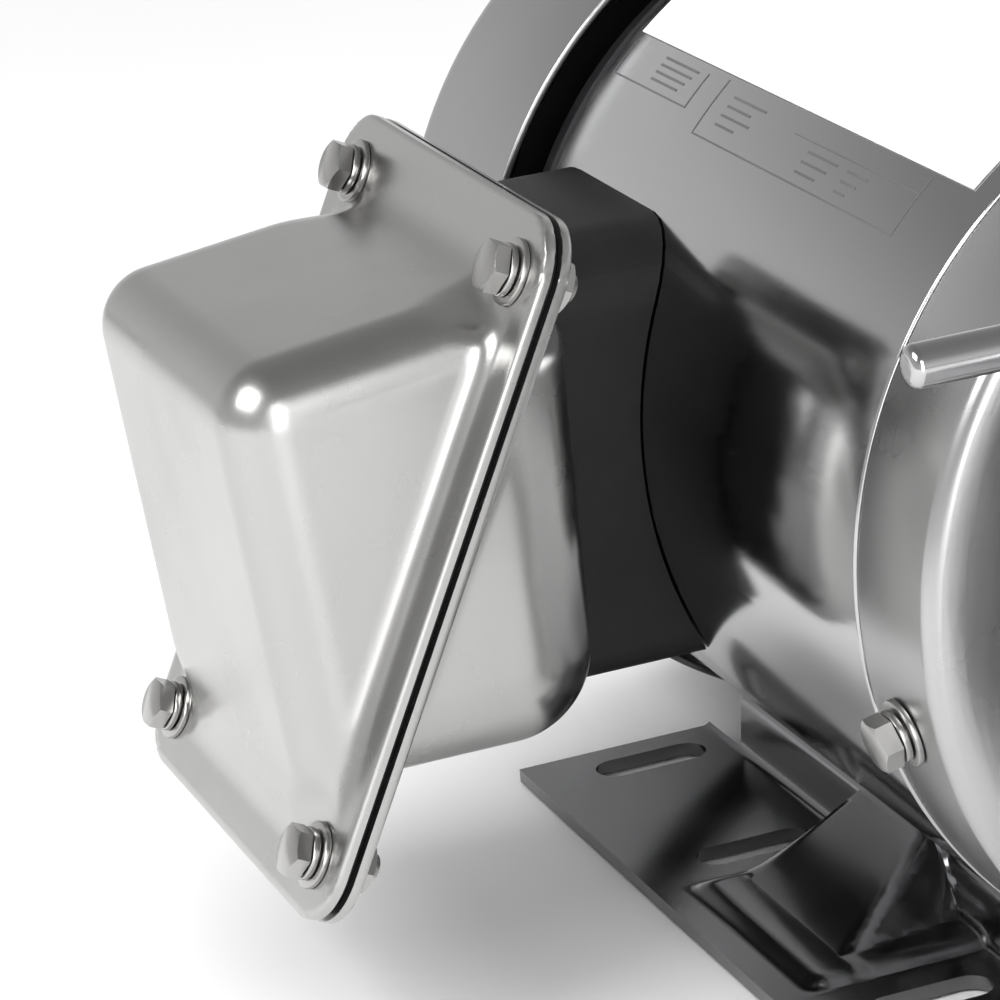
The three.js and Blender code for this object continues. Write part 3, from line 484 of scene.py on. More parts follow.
def motor_frame():
    outline = rounded([(-FRAME_LENGTH, DRUM - SHEET, 0.3), (0, DRUM - SHEET, 0.3), (0, DRUM, 0.5),
                       (-FRAME_LENGTH, DRUM, 0.5)], steps=3)
    drum = Build().spun(outline, segments=192).make("drum", MIRROR, "polished_stainless",
                                                   ["motor_frame"])
    carve(drum, lead_tool(-DRUM - 5, -DRUM + 30))


def drive_end_bell():
    bell_low, bell_high = box_of("drive_end_bell")
    rim = bell_high.z
    face = 31.0
    hub = bell_high.x
    outline = rounded([
        (0.3, rim, 0.6), (26.1, rim, 3.2), (27.4, rim - 6, 2), (face, rim - 24, 6),
        (face, 33, 2.5), (hub, 30, 1.6), (hub, 12.8, 0.5), (36, 12.8, 0), (36, 26.3, 0),
        (20, 26.3, 0.5), (20, 31.3, 2), (25, rim - 24, 4), (17.5, rim - 6, 4),
        (bell_low.x, rim - 6, 0.4), (bell_low.x, rim - 2, 0.4), (0.3, rim - 2, 0),
    ])
    Build().spun(outline, segments=192).make("drive_bell", TURNED, "brushed_stainless",
                                             ["drive_end_bell"])


def fan_end_bell():
    low, high = box_of("fan_end_bell")
    top = -FRAME_LENGTH
    rim = DRUM - 0.3
    outline = rounded([
        (high.x, rim - 2, 0.4), (top - 0.3, rim - 2, 0), (top - 0.3, rim, 0.5), (top - 3, rim, 0.8),
        (top - 4.5, rim - 3.2, 1), (low.x + 13, rim - 3.2, 3), (low.x + 11, rim - 10, 3),
        (low.x + 1, 26, 3), (low.x + 1, 8.8, 0.4), (low.x + 5, 8.8, 0), (low.x + 5, 20.3, 0),
        (top - 10.5, 20.3, 0.4), (top - 10.5, 26.3, 1), (top - 17, rim - 11, 4),
        (top - 14, rim - 8, 3), (high.x, rim - 8, 0.4),
    ])
    bell = Build().spun(outline, segments=160)
    seat = box_of("fan_cover")[1].z - 1.5
    for angle in (60, 180, 300):
        y, z = polar(1, angle)
        boss = rounded([(DRUM - 9, 0, 0), (seat - 1.2, 0, 0), (seat - 1.2, 6, 0.6), (DRUM - 9, 6, 0)])
        bell.spun(boss, (SCREW_X, 0, 0), (0, y, z), 32)
    bell.make("fan_bell", BLACK_PAINT, "black_casting", ["fan_end_bell"])


VENT_RINGS = ((20, 6), (30, 10), (40, 14), (50, 18), (60, 22), (70, 26))
VENT_RADIUS = 3.1


def fan_cover():
    low, high = box_of("fan_cover")
    radius = high.z
    wall = 1.5
    outline = rounded([
        (low.x, 0, 0), (low.x, radius, 8), (high.x, radius, 0.5), (high.x, radius - wall, 0.5),
        (low.x + wall, radius - wall, 6.5), (low.x + wall, 0, 0),
    ], closed=False, steps=8)
    cover = Build().spun(outline, segments=192).make("cooling_cover", SPUN, "brushed_stainless",
                                                     ["fan_cover"])
    vents = Build()
    hole = [(-3, 0), (4, 0), (4, VENT_RADIUS), (-3, VENT_RADIUS)]
    for ring, count in VENT_RINGS:
        for i in range(count):
            y, z = polar(ring, 360 * i / count)
            vents.spun(hole, (low.x, y, z), (1, 0, 0), 16)
    carve(cover, vents.make("vents", BOLT, "", body=None))


SCREW_X = box_of("fan_cover_screw_1")[0].x / 2 + box_of("fan_cover_screw_1")[1].x / 2
HEAD_RADIUS = 4.9


def washer(build, origin, direction, outer, inner, height):
    """A flat washer with rounded edges."""
    outline = rounded([(0, inner, 0.1), (height, inner, 0.15), (height, outer, 0.3), (0, outer, 0.1)],
                      steps=2)
    return build.spun(outline, origin, direction, 40)


def split_washer(build, origin, direction, outer, inner, height):
    """A helical washer, one end standing a little above the other."""
    outline = rounded([(0, inner, 0.2), (height, inner, 0.25), (height, outer, 0.3), (0, outer, 0.2)],
                      steps=2)
    return build.spun(outline, origin, direction, 44, arc=0.97, lift=0.45)


def screw_stack(build, seat, direction, head, head_height, lift=0.0):
    """Flat washer, split washer and hexagon head, piled up from the seat."""
    origin = Vector(seat)
    along = Vector(direction).normalized()
    washer(build, origin + along * lift, along, head * 1.22, 2.5, 1.0)
    split_washer(build, origin + along * (lift + 1.1), along, head * 0.96, 2.6, 1.2)
    build.hexagon(origin + along * (lift + 2.8), along, head, head_height)
    build.spun([(-8, 0), (lift + 3.5, 0), (lift + 3.5, 2.4), (-8, 2.4)], origin, along, 24)
    return build


def end_bell_screws():
    for i in range(4):
        y, z = polar(1, 193 + 90 * i)
        build = Build()
        screw_stack(build, (11.5, y * (DRUM - 0.3), z * (DRUM - 0.3)), (0, y, z),
                    HEAD_RADIUS, 3.4, 0.2)
        build.make(f"bell_bolt_{i + 1}", BOLT, "fastener_steel", [f"end_bell_screw_{i + 1}"])


def fan_cover_screws():
    radius = box_of("fan_cover")[1].z
    for i in range(3):
        y, z = polar(1, 60 + 120 * i)
        outline = rounded([(-8.5, 0, 0), (2.9, 0, 0), (2.7, 3, 1.4), (0.25, 5, 0.5),
                           (0.25, 2.5, 0), (-8.5, 2.5, 0.4)], steps=4)
        build = Build().spun(outline, (SCREW_X, y * radius, z * radius), (0, y, z), 32)
        build.make(f"cover_bolt_{i + 1}", BOLT, "fastener_steel", [f"fan_cover_screw_{i + 1}"])


# ---------------------------------------------------------------- label and etched panel
def curved_strip(x0, x1, from_angle, to_angle, radius, thickness, build, round_steps=24):
    """A thin skin on the drum, between two angles from +Y toward +Z."""
    rings = []
    for i in range(round_steps + 1):
        angle = from_angle + (to_angle - from_angle) * i / round_steps
        y, z = polar(radius, angle)
        yo, zo = polar(radius + thickness, angle)
        rings.append([(x0, y, z), (x1, y, z), (x1, yo, zo), (x0, yo, zo)])
    points = [p for ring in rings for p in ring]
    faces = [(3, 2, 1, 0), tuple(4 * round_steps + k for k in range(4))]
    for i in range(round_steps):
        for k in range(4):
            m = (k + 1) % 4
            faces.append((4 * i + k, 4 * i + m, 4 * (i + 1) + m, 4 * (i + 1) + k))
    build.add(points, faces)


def label():
    low, high = box_of("label_plate")
    build = Build()
    curved_strip(low.x, high.x, 52, 130.3, DRUM + 0.12, 0.3, build, 48)
    build.make("blank_label", WHITE, "label", ["label_plate"], sharp=60)


def etched_panel():
    """A thin outline on the drum with plain strokes in it, in place of the printed text."""
    build = Build()
    low_angle, high_angle = 139.0, 131.0
    left, right = -104.0, -20.5
    line = 0.35
    span = line / DRUM / DEG
    stroke = span * 1.4
    skin = 0.05

    def rule(x0, x1, a0, a1, steps=2):
        curved_strip(x0, x1, min(a0, a1), max(a0, a1), DRUM + 0.01, skin, build, steps)

    rule(left, right, low_angle, low_angle + span)
    rule(left, left + line, high_angle, low_angle, 8)
    rule(right - line, right, high_angle, low_angle, 8)
    rule(-70, right, 133.4, 133.4 + span * 0.6)
    for row, end in enumerate((-84, -88, -86, -90)):
        angle = 132.6 + 1.35 * row
        rule(-98, end, angle, angle + stroke)
    for row in range(3):
        angle = 134.6 + 1.4 * row
        for start, end in ((-62, -50), (-46, -38)):
            rule(start, end - 2 * row, angle, angle + stroke)
    # a second, smaller panel toward the fan end
    rule(-146, -112, 136.6, 136.6 + span)
    rule(-146, -146 + line, 131.5, 136.6, 6)
    rule(-112 - line, -112, 131.5, 136.6, 6)
    for row in range(4):
        angle = 131.8 + 1.1 * row
        rule(-131, -116 - row, angle, angle + stroke)
    build.make("etched_panel", INK, "polished_stainless")


# ---------------------------------------------------------------- base
PLATE = 2.7
HEIGHT = 88.9
FOOT_HALF = 88.2
RISER_Y, RISER_TOP, RISER_LEAN = 46.0, -73.5, 1.2
CRADLE_ANGLE = -116
CRADLE_FAR = -148.0
SLOT_X = (-152.3, -101.5, -24.7)
SLOT_Y, SLOT_LONG, SLOT_WIDE = 63.65, 23.5, 8.7
STEP_RISE = 1.7
GUSSET_RISE, GUSSET_EDGE, GUSSET_RUN = 12.5, 71.0, 24.0


def cradle_point(radius, degrees):
    """A point (y, z) of the sheet under the drum, on the side where y is positive."""
    y, z = polar(radius, degrees)
    return abs(y), z


def base_section():
    """Half of the plate's middle line, as (y, z), from the foot's edge to under the drum."""
    flat = -HEIGHT + PLATE / 2
    cradle = DRUM + 0.4 + PLATE / 2
    bend = RISER_Y - PLATE / 2
    line = [(FOOT_HALF, flat, 0), (bend, flat, 3.4), (bend - RISER_LEAN, RISER_TOP, 2.4),
            (*cradle_point(cradle, CRADLE_ANGLE), 0)]
    path = rounded(line, closed=False, steps=6)
    arc = [cradle_point(cradle, angle) for angle in range(CRADLE_ANGLE + 1, -89, 3)]
    return path[:-1] + arc + [(0, -cradle)]


def cross_line():
    """The whole middle line from one foot's edge to the other's, in steps of about 1.5 mm."""
    section = base_section()
    fine = []
    for (y0, z0), (y1, z1) in zip(section, section[1:]):
        count = max(1, int(math.hypot(y1 - y0, z1 - z0) / 1.5))
        fine += [(y0 + (y1 - y0) * i / count, z0 + (z1 - z0) * i / count) for i in range(count)]
    fine.append(section[-1])
    return [(-y, z) for y, z in fine] + [(y, z) for y, z in reversed(fine[:-1])]


def ease(value, start, end):
    """Runs smoothly from 0 to 1 as the value goes from start to end."""
    t = min(max((value - start) / (end - start), 0), 1)
    return t * t * (3 - 2 * t)


def pressed_rise(x, y):
    """How far the pressing lifts the foot above its flat, y being the distance from the middle.

    A low step runs between the second and third slots, and a gusset climbs from it to the riser.
    The gusset falls away toward the drive end from a slanting ridge."""
    far, near = SLOT_X[1] + 10.5, SLOT_X[2] - 12.5
    step = STEP_RISE * ease(x, far, far + 3) * ease(near - x, 0, 2.5) * ease(FOOT_HALF - 6 - y, 0, 4)
    climb = GUSSET_RISE * min(max((GUSSET_EDGE - y) / GUSSET_RUN, 0), 1)
    climb -= 0.5 * math.exp(-((y - GUSSET_EDGE - 0.5) / 1.6) ** 2)
    ridge = -60 + (y - 47) * 0.63
    if climb > 0:
        climb = max(0.0, climb - 1.15 * max(0.0, x - ridge))
    return max(0.0, step + climb * ease(x, far, far + 6))


def base_sheet(low, high):
    """The pressed sheet without its thickness; the cradle is only under the drum."""
    strip = cross_line()
    columns = np.linspace(low.x + 0.2, high.x, 110)
    points = []
    for x in columns:
        for y, z in strip:
            rise = 0.0
            if abs(y) > 44 and z < -60:
                rise = pressed_rise(x, abs(y)) * min(1.0, max(0.0, (RISER_TOP - z) / 10))
            points.append((x, y, z + rise))
    rows = len(strip)
    faces = []
    for i in range(len(columns) - 1):
        middle = (columns[i] + columns[i + 1]) / 2
        for j in range(rows - 1):
            under = abs(strip[j][0]) < 45.5 and abs(strip[j + 1][0]) < 45.5
            if under and not CRADLE_FAR < middle < high.x - 2:
                continue
            a, b = i * rows + j, (i + 1) * rows + j
            faces.append((a, a + 1, b + 1, b))
    return points, faces


def slot_tools():
    """Scratch blocks with round ends, one for each slot of the two feet."""
    slots = Build()
    half, radius = (SLOT_LONG - SLOT_WIDE) / 2, SLOT_WIDE / 2
    for side in (-1, 1):
        for x in SLOT_X:
            outline = []
            for i in range(32):
                angle = TAU * (i + 0.5) / 32
                dx, dy = radius * math.cos(angle), radius * math.sin(angle)
                outline.append((x + dx, side * SLOT_Y + dy + math.copysign(half, dy)))
            points = [(u, v, w) for w in (-HEIGHT - 3, -HEIGHT + 8) for u, v in outline]
            slots.add(points, prism_faces(len(outline)))
    return slots.make("slots", BOLT, "", body=None)


def base():
    points, faces = base_sheet(*box_of("base"))
    plate = piece("foot_base", points, faces, FOOT, "base_steel", ["base"])
    thick = plate.modifiers.new("thick", "SOLIDIFY")
    thick.thickness = PLATE * MM
    thick.offset = 0
    thick.use_even_offset = False
    bpy.context.view_layer.update()
    bake_modifiers(plate)
    carve(plate, slot_tools())
    smooth(plate, 38.0)


def weld_spots():
    """A round plug weld near the top of the gusset on each foot."""
    weld = Build()
    for side in (-1, 1):
        spot = rounded([(-1, 0, 0), (-1, 4.2, 0), (0.5, 4.2, 0.4), (0.5, 0, 0)], closed=False)
        weld.spun(spot, (-80, side * 50.5, -74.4), (0, side * 0.46, 0.888), 40)
    weld.make("weld_spots", FOOT, "base_steel")


# ---------------------------------------------------------------- conduit box
LEAN = 25.7 * DEG
SPLIT = (-95.0, -138.5, 1.4)
BOX_NEAR, BOX_FAR = -52.0, -138.0
BOX_BACK, BOX_FRONT, FRONT_LEAN = -106.0, -172.0, 7.6 / 79
BOX_TOP, TOP_SLOPE = 41.0, 6.6 / 52
BOX_BOTTOM, COVER_BOTTOM = -38.0, -50.0
BOLT_X, BOLT_Z = 40.2, 53.4
FLANGE_X, FLANGE_Z, FLANGE_CORNER = 51.2, 64.4, 11.0
GASKET, FLANGE, GAP = 1.2, 2.0, 0.1
FLANGE_FILLET, FLANGE_EDGE = 4.5, 0.7
WALL = 1.6
COVER_CORNER, BASE_CORNER = 10.5, 17.0
BOLT_HOLLOW, HOLLOW_BLEND = 9.4, 5.0


def from_split(points):
    """Points of the leaning frame of the split, in the motor's frame."""
    points = np.asarray(points)
    c, s = math.cos(LEAN), math.sin(LEAN)
    x, y, z = points[:, 0], points[:, 1], points[:, 2]
    return np.stack([x + SPLIT[0], y * c + z * s + SPLIT[1], -y * s + z * c + SPLIT[2]], axis=1)


def box_field(x, y, z, inset, corner, bottom):
    """Signed distance to the box's rounded body, taken in the split's leaning frame."""
    c, s = math.cos(LEAN), math.sin(LEAN)
    motor_y = y * c + z * s + SPLIT[1]
    motor_z = -y * s + z * c + SPLIT[2]
    ax = np.maximum(x + SPLIT[0] - BOX_NEAR, BOX_FAR - x - SPLIT[0]) + inset + corner
    front = (BOX_FRONT + (BOX_TOP - motor_z) * FRONT_LEAN - motor_y) * 0.995
    ay = np.maximum(front, motor_y - BOX_BACK) + inset + corner
    top = (motor_z - BOX_TOP - (motor_y - BOX_FRONT) * TOP_SLOPE) * 0.996
    az = np.maximum(top, bottom - motor_z) + inset + corner
    outside = np.sqrt(np.maximum(ax, 0) ** 2 + np.maximum(ay, 0) ** 2 + np.maximum(az, 0) ** 2)
    inside = np.minimum(np.maximum(ax, np.maximum(ay, az)), 0)
    return outside + inside - corner


def bolt_distance(x, z):
    """Distance from the nearest bolt's axis, in the plane of the split."""
    return np.minimum.reduce([np.hypot(x - i * BOLT_X, z - k * BOLT_Z)
                              for i in (-1, 1) for k in (-1, 1)])


def corner_of(side):
    """The corner radius of a half: the side is -1 for the cover and 1 for the base."""
    return COVER_CORNER if side < 0 else BASE_CORNER


def settle(points, field, rounds=4):
    """Moves points along the field's slope until they lie on its zero level."""
    reach = 0.02
    for _ in range(rounds):
        value = field(*points.T)
        slope = np.stack([field(*(points + reach * step).T) - field(*(points - reach * step).T)
                          for step in np.eye(3)], axis=1) / (2 * reach)
        length = np.maximum((slope ** 2).sum(axis=1), 0.2)
        points = points - np.clip(value / length, -0.6, 0.6)[:, None] * slope
    return points


def shell_field(side, inset, corner):
    """The stamped half without its flange: a rounded body, hollowed beside each bolt.

    In the fields of one half, out is the distance from the split toward that half."""
    bottom = COVER_BOTTOM if side < 0 else BOX_BOTTOM

    def field(x, out, z):
        body = box_field(x, side * out, z, inset, corner, bottom)
        return smooth_max(body, BOLT_HOLLOW + inset - bolt_distance(x, z), HOLLOW_BLEND)
    return field


def half_field(side):
    """The outside of one stamped half, running into its flange with a radius."""
    body = shell_field(side, 0.0, corner_of(side))
    far = GASKET / 2 + GAP + FLANGE

    def field(x, out, z):
        edge_x = np.abs(x) - FLANGE_X + FLANGE_CORNER
        edge_z = np.abs(z) - FLANGE_Z + FLANGE_CORNER
        rim = np.hypot(np.maximum(edge_x, 0), np.maximum(edge_z, 0)) - FLANGE_CORNER
        rim = rim + np.minimum(np.maximum(edge_x, edge_z), 0)
        plate = smooth_max(rim, out - far, FLANGE_EDGE)
        solid = smooth_min(body(x, out, z), plate, FLANGE_FILLET)
        return np.maximum(solid, rim)
    return field


def field_mesh(side, field, xs, outs, zs):
    """Points of the motor's frame and faces, on the zero level of a field of one half."""
    grid = np.meshgrid(xs, outs, zs, indexing="ij")
    points, faces = surface_net(xs, outs, zs, field(*grid))
    points = settle(points, field)
    points[:, 1] *= side
    return from_split(points), [tuple(f) for f in faces.tolist()]


def trim_tool(side, near):
    """A scratch block that cuts a half off flat at its flange's face."""
    start, end = from_split([(0, side * near, 0), (0, side * (near - 20), 0)])
    profile = [(0, 0), (20, 0), (20, 120), (0, 120)]
    build = Build().spun(profile, start, Vector(end) - Vector(start), 4)
    return build.make("trim", PRESSED, "", body=None)


def bolt_hole_tools(side, near, far):
    """Scratch cylinders for the four bolt holes of a half's flange."""
    return [rod_tool(*from_split([(i * BOLT_X, side * (near - 3), k * BOLT_Z),
                                  (i * BOLT_X, side * (far + 6), k * BOLT_Z)]), 2.7)
            for i in (-1, 1) for k in (-1, 1)]


def box_half(name, side, node):
    """One stamped half, hollow and open toward the other half."""
    near = GASKET / 2 + GAP
    far = near + FLANGE
    depth = 52.0 if side < 0 else 60.0
    # both surfaces run past the flange's face, where the trim cuts them flat
    start = near - 1.0
    outer = half_field(side)
    hollow = shell_field(side, WALL, corner_of(side) - 1.5)

    def closed(x, out, z):
        return np.maximum(outer(x, out, z), start - out)

    def open_cavity(x, out, z):
        return np.maximum(hollow(x, out, z), start - 1.2 - out)

    step = 1.2
    xs = np.arange(-FLANGE_X - 1.1, FLANGE_X + 1.2, step)
    zs = np.arange(-FLANGE_Z - 1.3, FLANGE_Z + 1.4, step)
    skin = [near - 3, near - 1.5, near + 0.2, near + 0.8, near + 1.3, far - 0.15, far + 0.3]
    outs = np.concatenate([skin, np.arange(far + 0.9, depth, step)])
    half = piece(name, *field_mesh(side, closed, xs, outs, zs), PRESSED, "polished_stainless",
                 [node], sharp=42)
    coarse = 2.4
    xs = np.arange(-48, 49, coarse)
    zs = np.arange(-56, 57, coarse)
    outs = np.concatenate([[near - 4, near - 1.4], np.arange(near, depth, coarse)])
    cavity = piece("cavity", *field_mesh(side, open_cavity, xs, outs, zs), PRESSED, "", body=None)
    carve(half, cavity, trim_tool(side, near), *bolt_hole_tools(side, near, far))
    smooth(half, 42)


def gasket():
    wide, tall = FLANGE_X - 1.8, FLANGE_Z - 1.8
    outline = rounded([(-wide, -tall, 9.2), (wide, -tall, 9.2), (wide, tall, 9.2), (-wide, tall, 9.2)],
                      steps=8)
    inner = rounded([(-36, -40, 8), (36, -40, 8), (36, 42, 8), (-36, 42, 8)], steps=8)
    count = len(outline)
    rings = [[(u, w, v) for u, v in loop] for loop, w in
             ((outline, -GASKET / 2), (outline, GASKET / 2), (inner, GASKET / 2), (inner, -GASKET / 2))]
    points = [p for ring in rings for p in ring]
    faces = []
    for a in range(4):
        b = (a + 1) % 4
        for i in range(count):
            j = (i + 1) % count
            faces.append((a * count + i, a * count + j, b * count + j, b * count + i))
    piece("box_gasket", from_split(points), faces, RUBBER, "rubber", ["conduit_gasket"])


PITCH = 0.9


def conduit_bolts():
    outward = Vector(from_split([(0, -1, 0)])[0]) - Vector(from_split([(0, 0, 0)])[0])
    seat = GASKET / 2 + GAP + FLANGE
    places = [(-1, 1), (1, 1), (1, -1), (-1, -1)]
    for number, (i, k) in enumerate(places, start=1):
        spots = from_split([(i * BOLT_X, -seat, k * BOLT_Z), (i * BOLT_X, seat, k * BOLT_Z)])
        front, back = Vector(spots[0]), Vector(spots[1])
        build = Build()
        screw_stack(build, front, outward, HEAD_RADIUS, 2.9, 0.1)
        build.hexagon(back - outward * 0.3, -outward, 5.0, 4.0)
        thread = [(0.0, 0.0)]
        for turn in range(14):
            thread += [(PITCH * turn, 2.1), (PITCH * turn + PITCH / 2, 2.42)]
        thread += [(12.4, 1.8), (12.4, 0.0)]
        build.spun(thread, front + outward * 1.0, -outward, 24)
        build.make(f"box_bolt_{number}", BOLT, "fastener_steel", [f"conduit_bolt_{number}"])


def conduit_spacer():
    low, high = box_of("conduit_spacer")
    outline = rounded([(low.x, low.z, 3), (high.x, low.z, 5), (high.x, high.z, 13), (low.x, high.z, 8)],
                      steps=6)
    block = slab("box_spacer", outline, low.y, low.y + 40, "y", BLACK_PLASTIC, "black_plastic",
                 ["conduit_spacer"], edge=1.6)
    hollow = [(low.x - 20, 0), (high.x + 20, 0), (high.x + 20, DRUM + 0.3), (low.x - 20, DRUM + 0.3)]
    drum = Build().spun(hollow, segments=160).make("tool", BOLT, "", body=None)
    carve(block, drum, lead_tool(low.y - 4, 0))


# ---------------------------------------------------------------- rod and eye shield
def shield_rod():
    low, high = box_of("eye_shield_rod")
    x = (low.x + high.x) / 2
    z = (low.z + high.z) / 2
    radius = (high.x - low.x) / 2
    eye = 8.0
    hinge = high.y - eye
    outline = rounded([(0, 0, 0), (0, radius, 2.6), (hinge - low.y - 5, radius, 0.5),
                       (hinge - low.y - 5, 0, 0)], closed=False, steps=8)
    rod = Build().spun(outline, (x, low.y, z), (0, 1, 0), 64)
    ring = rounded([(-3, 2.8, 0.4), (3, 2.8, 0.4), (3, eye, 0.8), (-3, eye, 0.8)], steps=3)
    rod.spun(ring, (x, hinge, z), (1, 0, 0), 64)
    rod.make("shield_rod", MIRROR, "polished_stainless", ["eye_shield_rod"],
             body="eye_shield_support")


# ---------------------------------------------------------------- grinding head
def guard():
    low, high = box_of("guard_shell")
    radius = -low.z
    wall = 2.0
    outline = rounded([
        (low.x, 34, 0.4), (low.x, radius, 3.5), (high.x, radius, 0.4), (high.x, radius - wall, 0.4),
        (low.x + wall, radius - wall, 2), (low.x + wall, 34, 0.4)], steps=5)
    shell = Build().spun(outline, segments=160).make("wheel_guard", SPUN, "brushed_stainless",
                                                     ["guard_shell"])
    carve(shell, mouth_tool(low.x - 2, high.x + 2))
    c_low, c_high = box_of("guard_cover")
    plate = rounded([(c_low.x, 0, 0), (c_low.x, radius, 0.4), (c_high.x - 0.2, radius, 1.2),
                     (c_high.x, 0, 0)], closed=False, steps=4)
    cover = Build().spun(plate, segments=160).make("guard_side_plate", SPUN, "brushed_stainless",
                                                   ["guard_cover"])
    carve(cover, mouth_tool(c_low.x - 2, c_high.x + 2))


def mouth_tool(x0, x1):
    """A wedge that opens the guard toward the operator."""
    inner, outer = 55.0, 110.0
    low, high = -25, 45
    outline = [polar(outer, low + (high - low) * i / 24) for i in range(25)]
    outline += [polar(inner, high - (high - low) * i / 24) for i in range(25)]
    points = [(x, y, z) for x in (x0, x1) for y, z in outline]
    return piece("tool", points, prism_faces(len(outline)), BOLT, "", body=None)


def wheel():
    low, high = box_of("grinding_wheel")
    radius = high.z
    outline = rounded([(low.x, 6.5, 0), (low.x, radius, 1.2), (high.x, radius, 1.2),
                       (high.x, 6.5, 0)], steps=4)
    Build().spun(outline, segments=192).make("wheel", ABRASIVE, "abrasive", ["grinding_wheel"],
                                             body="spindle")


def guard_mount():
    low, high = box_of("guard_mount")
    outline = rounded([
        (low.x, 36, 0.4), (low.x, 50, 0.6), (low.x + 4, 50, 0.6), (low.x + 4, 44, 2.5),
        (high.x - 4, 44, 2.5), (high.x - 4, 50, 0.6), (high.x, 50, 0.6), (high.x, 36, 0.4)])
    Build().spun(outline, segments=128).make("guard_bracket", BLACK_PAINT, "black_casting",
                                             ["guard_mount"])


# ---------------------------------------------------------------- CAD nodes kept as they are
KEPT = {
    "shaft": TURNED, "rotor_core": LAMINATION, "stator_core": LAMINATION, "drive_coil": COPPER,
    "fan_coil": COPPER, "cooling_fan": BLACK_PLASTIC, "drive_bearing_inner": BOLT,
    "fan_bearing_inner": BOLT, "drive_bearing_outer": BOLT, "fan_bearing_outer": BOLT,
    "shaft_slinger": RUBBER, "inner_wheel_flange": TURNED, "outer_wheel_flange": TURNED,
    "arbor_nut": BOLT, "terminal_block": BLACK_PLASTIC, "cable_gland": BLACK_PLASTIC,
    "switch_box": BLACK_PLASTIC, "switch_rocker": RED, "spark_arrester": EDGE,
    "tool_rest_arm": EDGE, "tool_rest_plate": EDGE, "tool_rest_pivot": BOLT,
    "tool_rest_knob": BLACK_PLASTIC, "rod_clamp": EDGE, "rod_clamp_screw": BOLT,
    "eye_shield_screw": BOLT, "eye_shield_frame": BLACK_PLASTIC, "eye_shield_lens": CLEAR,
}


SOFT_EDGED = ("switch_box", "switch_rocker", "tool_rest_arm", "tool_rest_plate", "tool_rest_knob",
              "rod_clamp", "rod_clamp_screw", "eye_shield_frame", "spark_arrester", "terminal_block")


def dress_nodes():
    for name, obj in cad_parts.items():
        look = KEPT.get(name, BOLT)
        obj.data.materials.clear()
        obj.data.materials.append(look)
        smooth(obj, 30.0)
        if name in SOFT_EDGED:
            weld = obj.modifiers.new("weld", "WELD")
            weld.merge_threshold = 0.002 * MM
            edge = obj.modifiers.new("edge", "BEVEL")
            edge.width = 0.4 * MM
            edge.segments = 2
            edge.limit_method = "ANGLE"
            edge.angle_limit = 40 * DEG


# ---------------------------------------------------------------- stage, light and camera
def floor():
    floor_mesh = bpy.data.meshes.new("floor")
    size = 6.0
    floor_mesh.from_pydata([(-size, -size, 0), (size, -size, 0), (size, size, 0), (-size, size, 0)],
                           [], [(0, 1, 2, 3)])
    obj = bpy.data.objects.new("floor", floor_mesh)
    bpy.context.scene.collection.objects.link(obj)
    look, shader = start_material("pale_floor", (0.93, 0.93, 0.93), 0.6, 0.0)
    tint = stretched_noise(look, 3.0, (1, 1, 1), 2.0)
    tone = ramp(look, tint, "Fac", 0.0, 1.0)
    color_mix(look, shader, tone, (0.93, 0.93, 0.93), (0.9, 0.9, 0.9))
    floor_mesh.materials.append(look)
    obj.location.z = -0.5 * MM


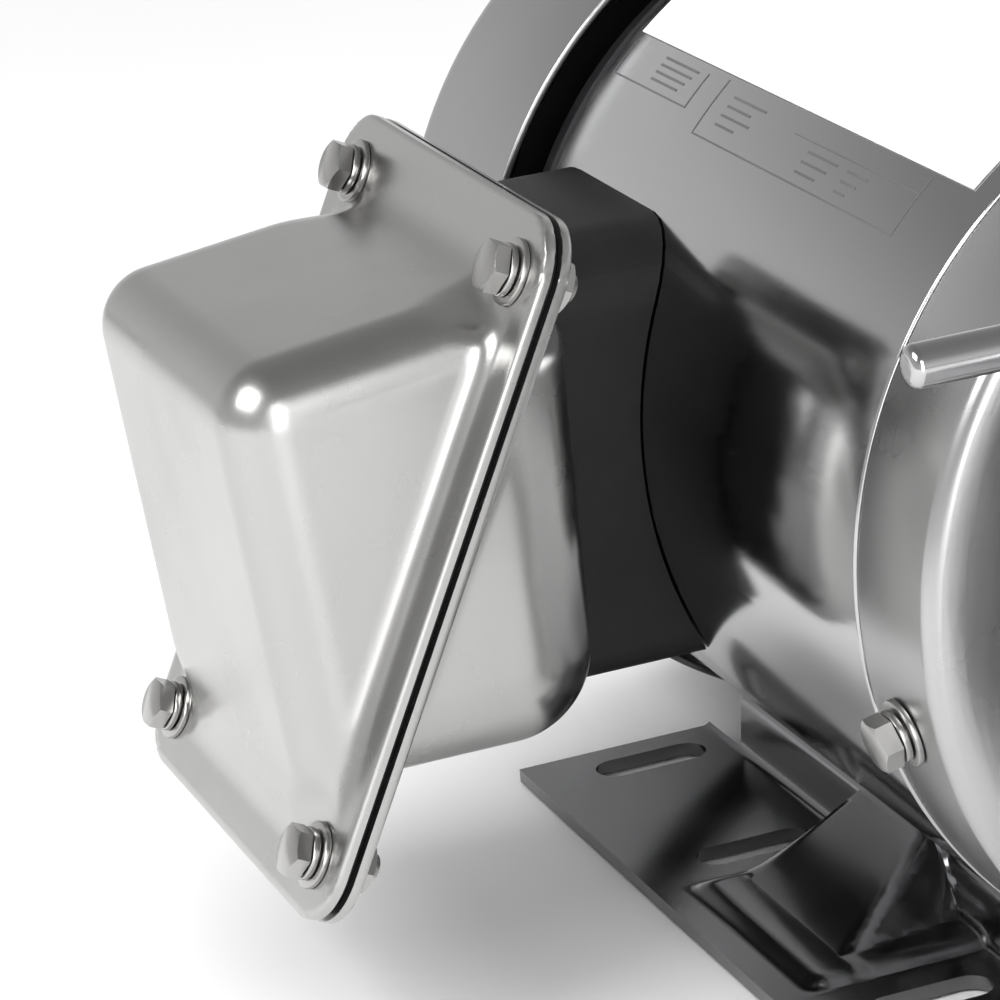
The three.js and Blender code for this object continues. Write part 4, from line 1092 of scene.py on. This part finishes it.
def backdrop():
    """A grey world, dimmer overhead and toward the conduit box."""
    bpy.context.scene.view_settings.view_transform = "Standard"
    world = bpy.data.worlds.new("studio")
    bpy.context.scene.world = world
    world.use_nodes = True
    tree = world.node_tree
    place = tree.nodes.new("ShaderNodeTexCoord")
    split = tree.nodes.new("ShaderNodeSeparateXYZ")
    fade = tree.nodes.new("ShaderNodeValToRGB")
    stops = [(0.0, 0.9), (0.5, 1.0), (0.62, 0.85), (0.78, 0.42), (1.0, 0.3)]
    while len(fade.color_ramp.elements) < len(stops):
        fade.color_ramp.elements.new(0.5)
    for element, (spot, tone) in zip(fade.color_ramp.elements, stops):
        element.position = spot
        element.color = (tone, tone, tone, 1)
    height = tree.nodes.new("ShaderNodeMapRange")
    height.inputs["From Min"].default_value = -1
    tree.links.new(place.outputs["Generated"], split.inputs[0])
    tree.links.new(split.outputs["Z"], height.inputs["Value"])
    tree.links.new(height.outputs["Result"], fade.inputs["Fac"])
    side = tree.nodes.new("ShaderNodeMapRange")
    side.inputs["From Min"].default_value = -1
    side.inputs["To Min"].default_value = 0.66
    tree.links.new(split.outputs["Y"], side.inputs["Value"])
    dim = tree.nodes.new("ShaderNodeVectorMath")
    dim.operation = "SCALE"
    tree.links.new(fade.outputs["Color"], dim.inputs[0])
    tree.links.new(side.outputs["Result"], dim.inputs["Scale"])
    tree.links.new(dim.outputs["Vector"], tree.nodes["Background"].inputs["Color"])
    tree.nodes["Background"].inputs["Strength"].default_value = 1.0


def area_light(name, place, target, size, power):
    lamp = bpy.data.lights.new(name, "AREA")
    lamp.shape = "RECTANGLE"
    lamp.size, lamp.size_y = size
    lamp.energy = power
    obj = bpy.data.objects.new(name, lamp)
    bpy.context.scene.collection.objects.link(obj)
    obj.location = place
    obj.rotation_euler = (Vector(target) - Vector(place)).to_track_quat("-Z", "Y").to_euler()
    return obj


def lights():
    middle = at(-60, -60, 0)
    area_light("key", middle + Vector((0.2, -1.1, 1.0)), middle, (0.9, 0.7), 14)
    area_light("side", middle + Vector((1.2, -0.2, 0.35)), middle, (0.5, 0.9), 6)
    fill = area_light("fill", middle + Vector((0, 0, 2.2)), middle, (4.0, 4.0), 60)
    fill.visible_glossy = False


CAMERA_PLACE = (641.7, -367.2, 268.5)
CAMERA_RIGHT = (0.35878, 0.92865, -0.09426)
CAMERA_FORWARD = (-0.89151, 0.31100, -0.32936)
FOCAL_LENGTH = 164.2


def camera():
    data = bpy.data.cameras.new("camera")
    data.sensor_width = 36
    data.lens = FOCAL_LENGTH
    data.clip_start = 0.01
    data.clip_end = 50
    obj = bpy.data.objects.new("camera", data)
    bpy.context.scene.collection.objects.link(obj)
    right = Vector(CAMERA_RIGHT).normalized()
    back = -Vector(CAMERA_FORWARD).normalized()
    up = back.cross(right).normalized()
    turn = Matrix((right, up, back)).transposed()
    obj.matrix_world = Matrix.Translation(at(*CAMERA_PLACE)) @ turn.to_4x4()
    bpy.context.scene.camera = obj


dress_nodes()
motor_frame()
drive_end_bell()
fan_end_bell()
fan_cover()
end_bell_screws()
fan_cover_screws()
label()
etched_panel()
base()
weld_spots()
box_half("box_cover", -1, "conduit_box_cover")
box_half("box_base", 1, "conduit_box_base")
gasket()
conduit_bolts()
conduit_spacer()
shield_rod()
guard()
wheel()
guard_mount()
floor()
backdrop()
lights()
camera()
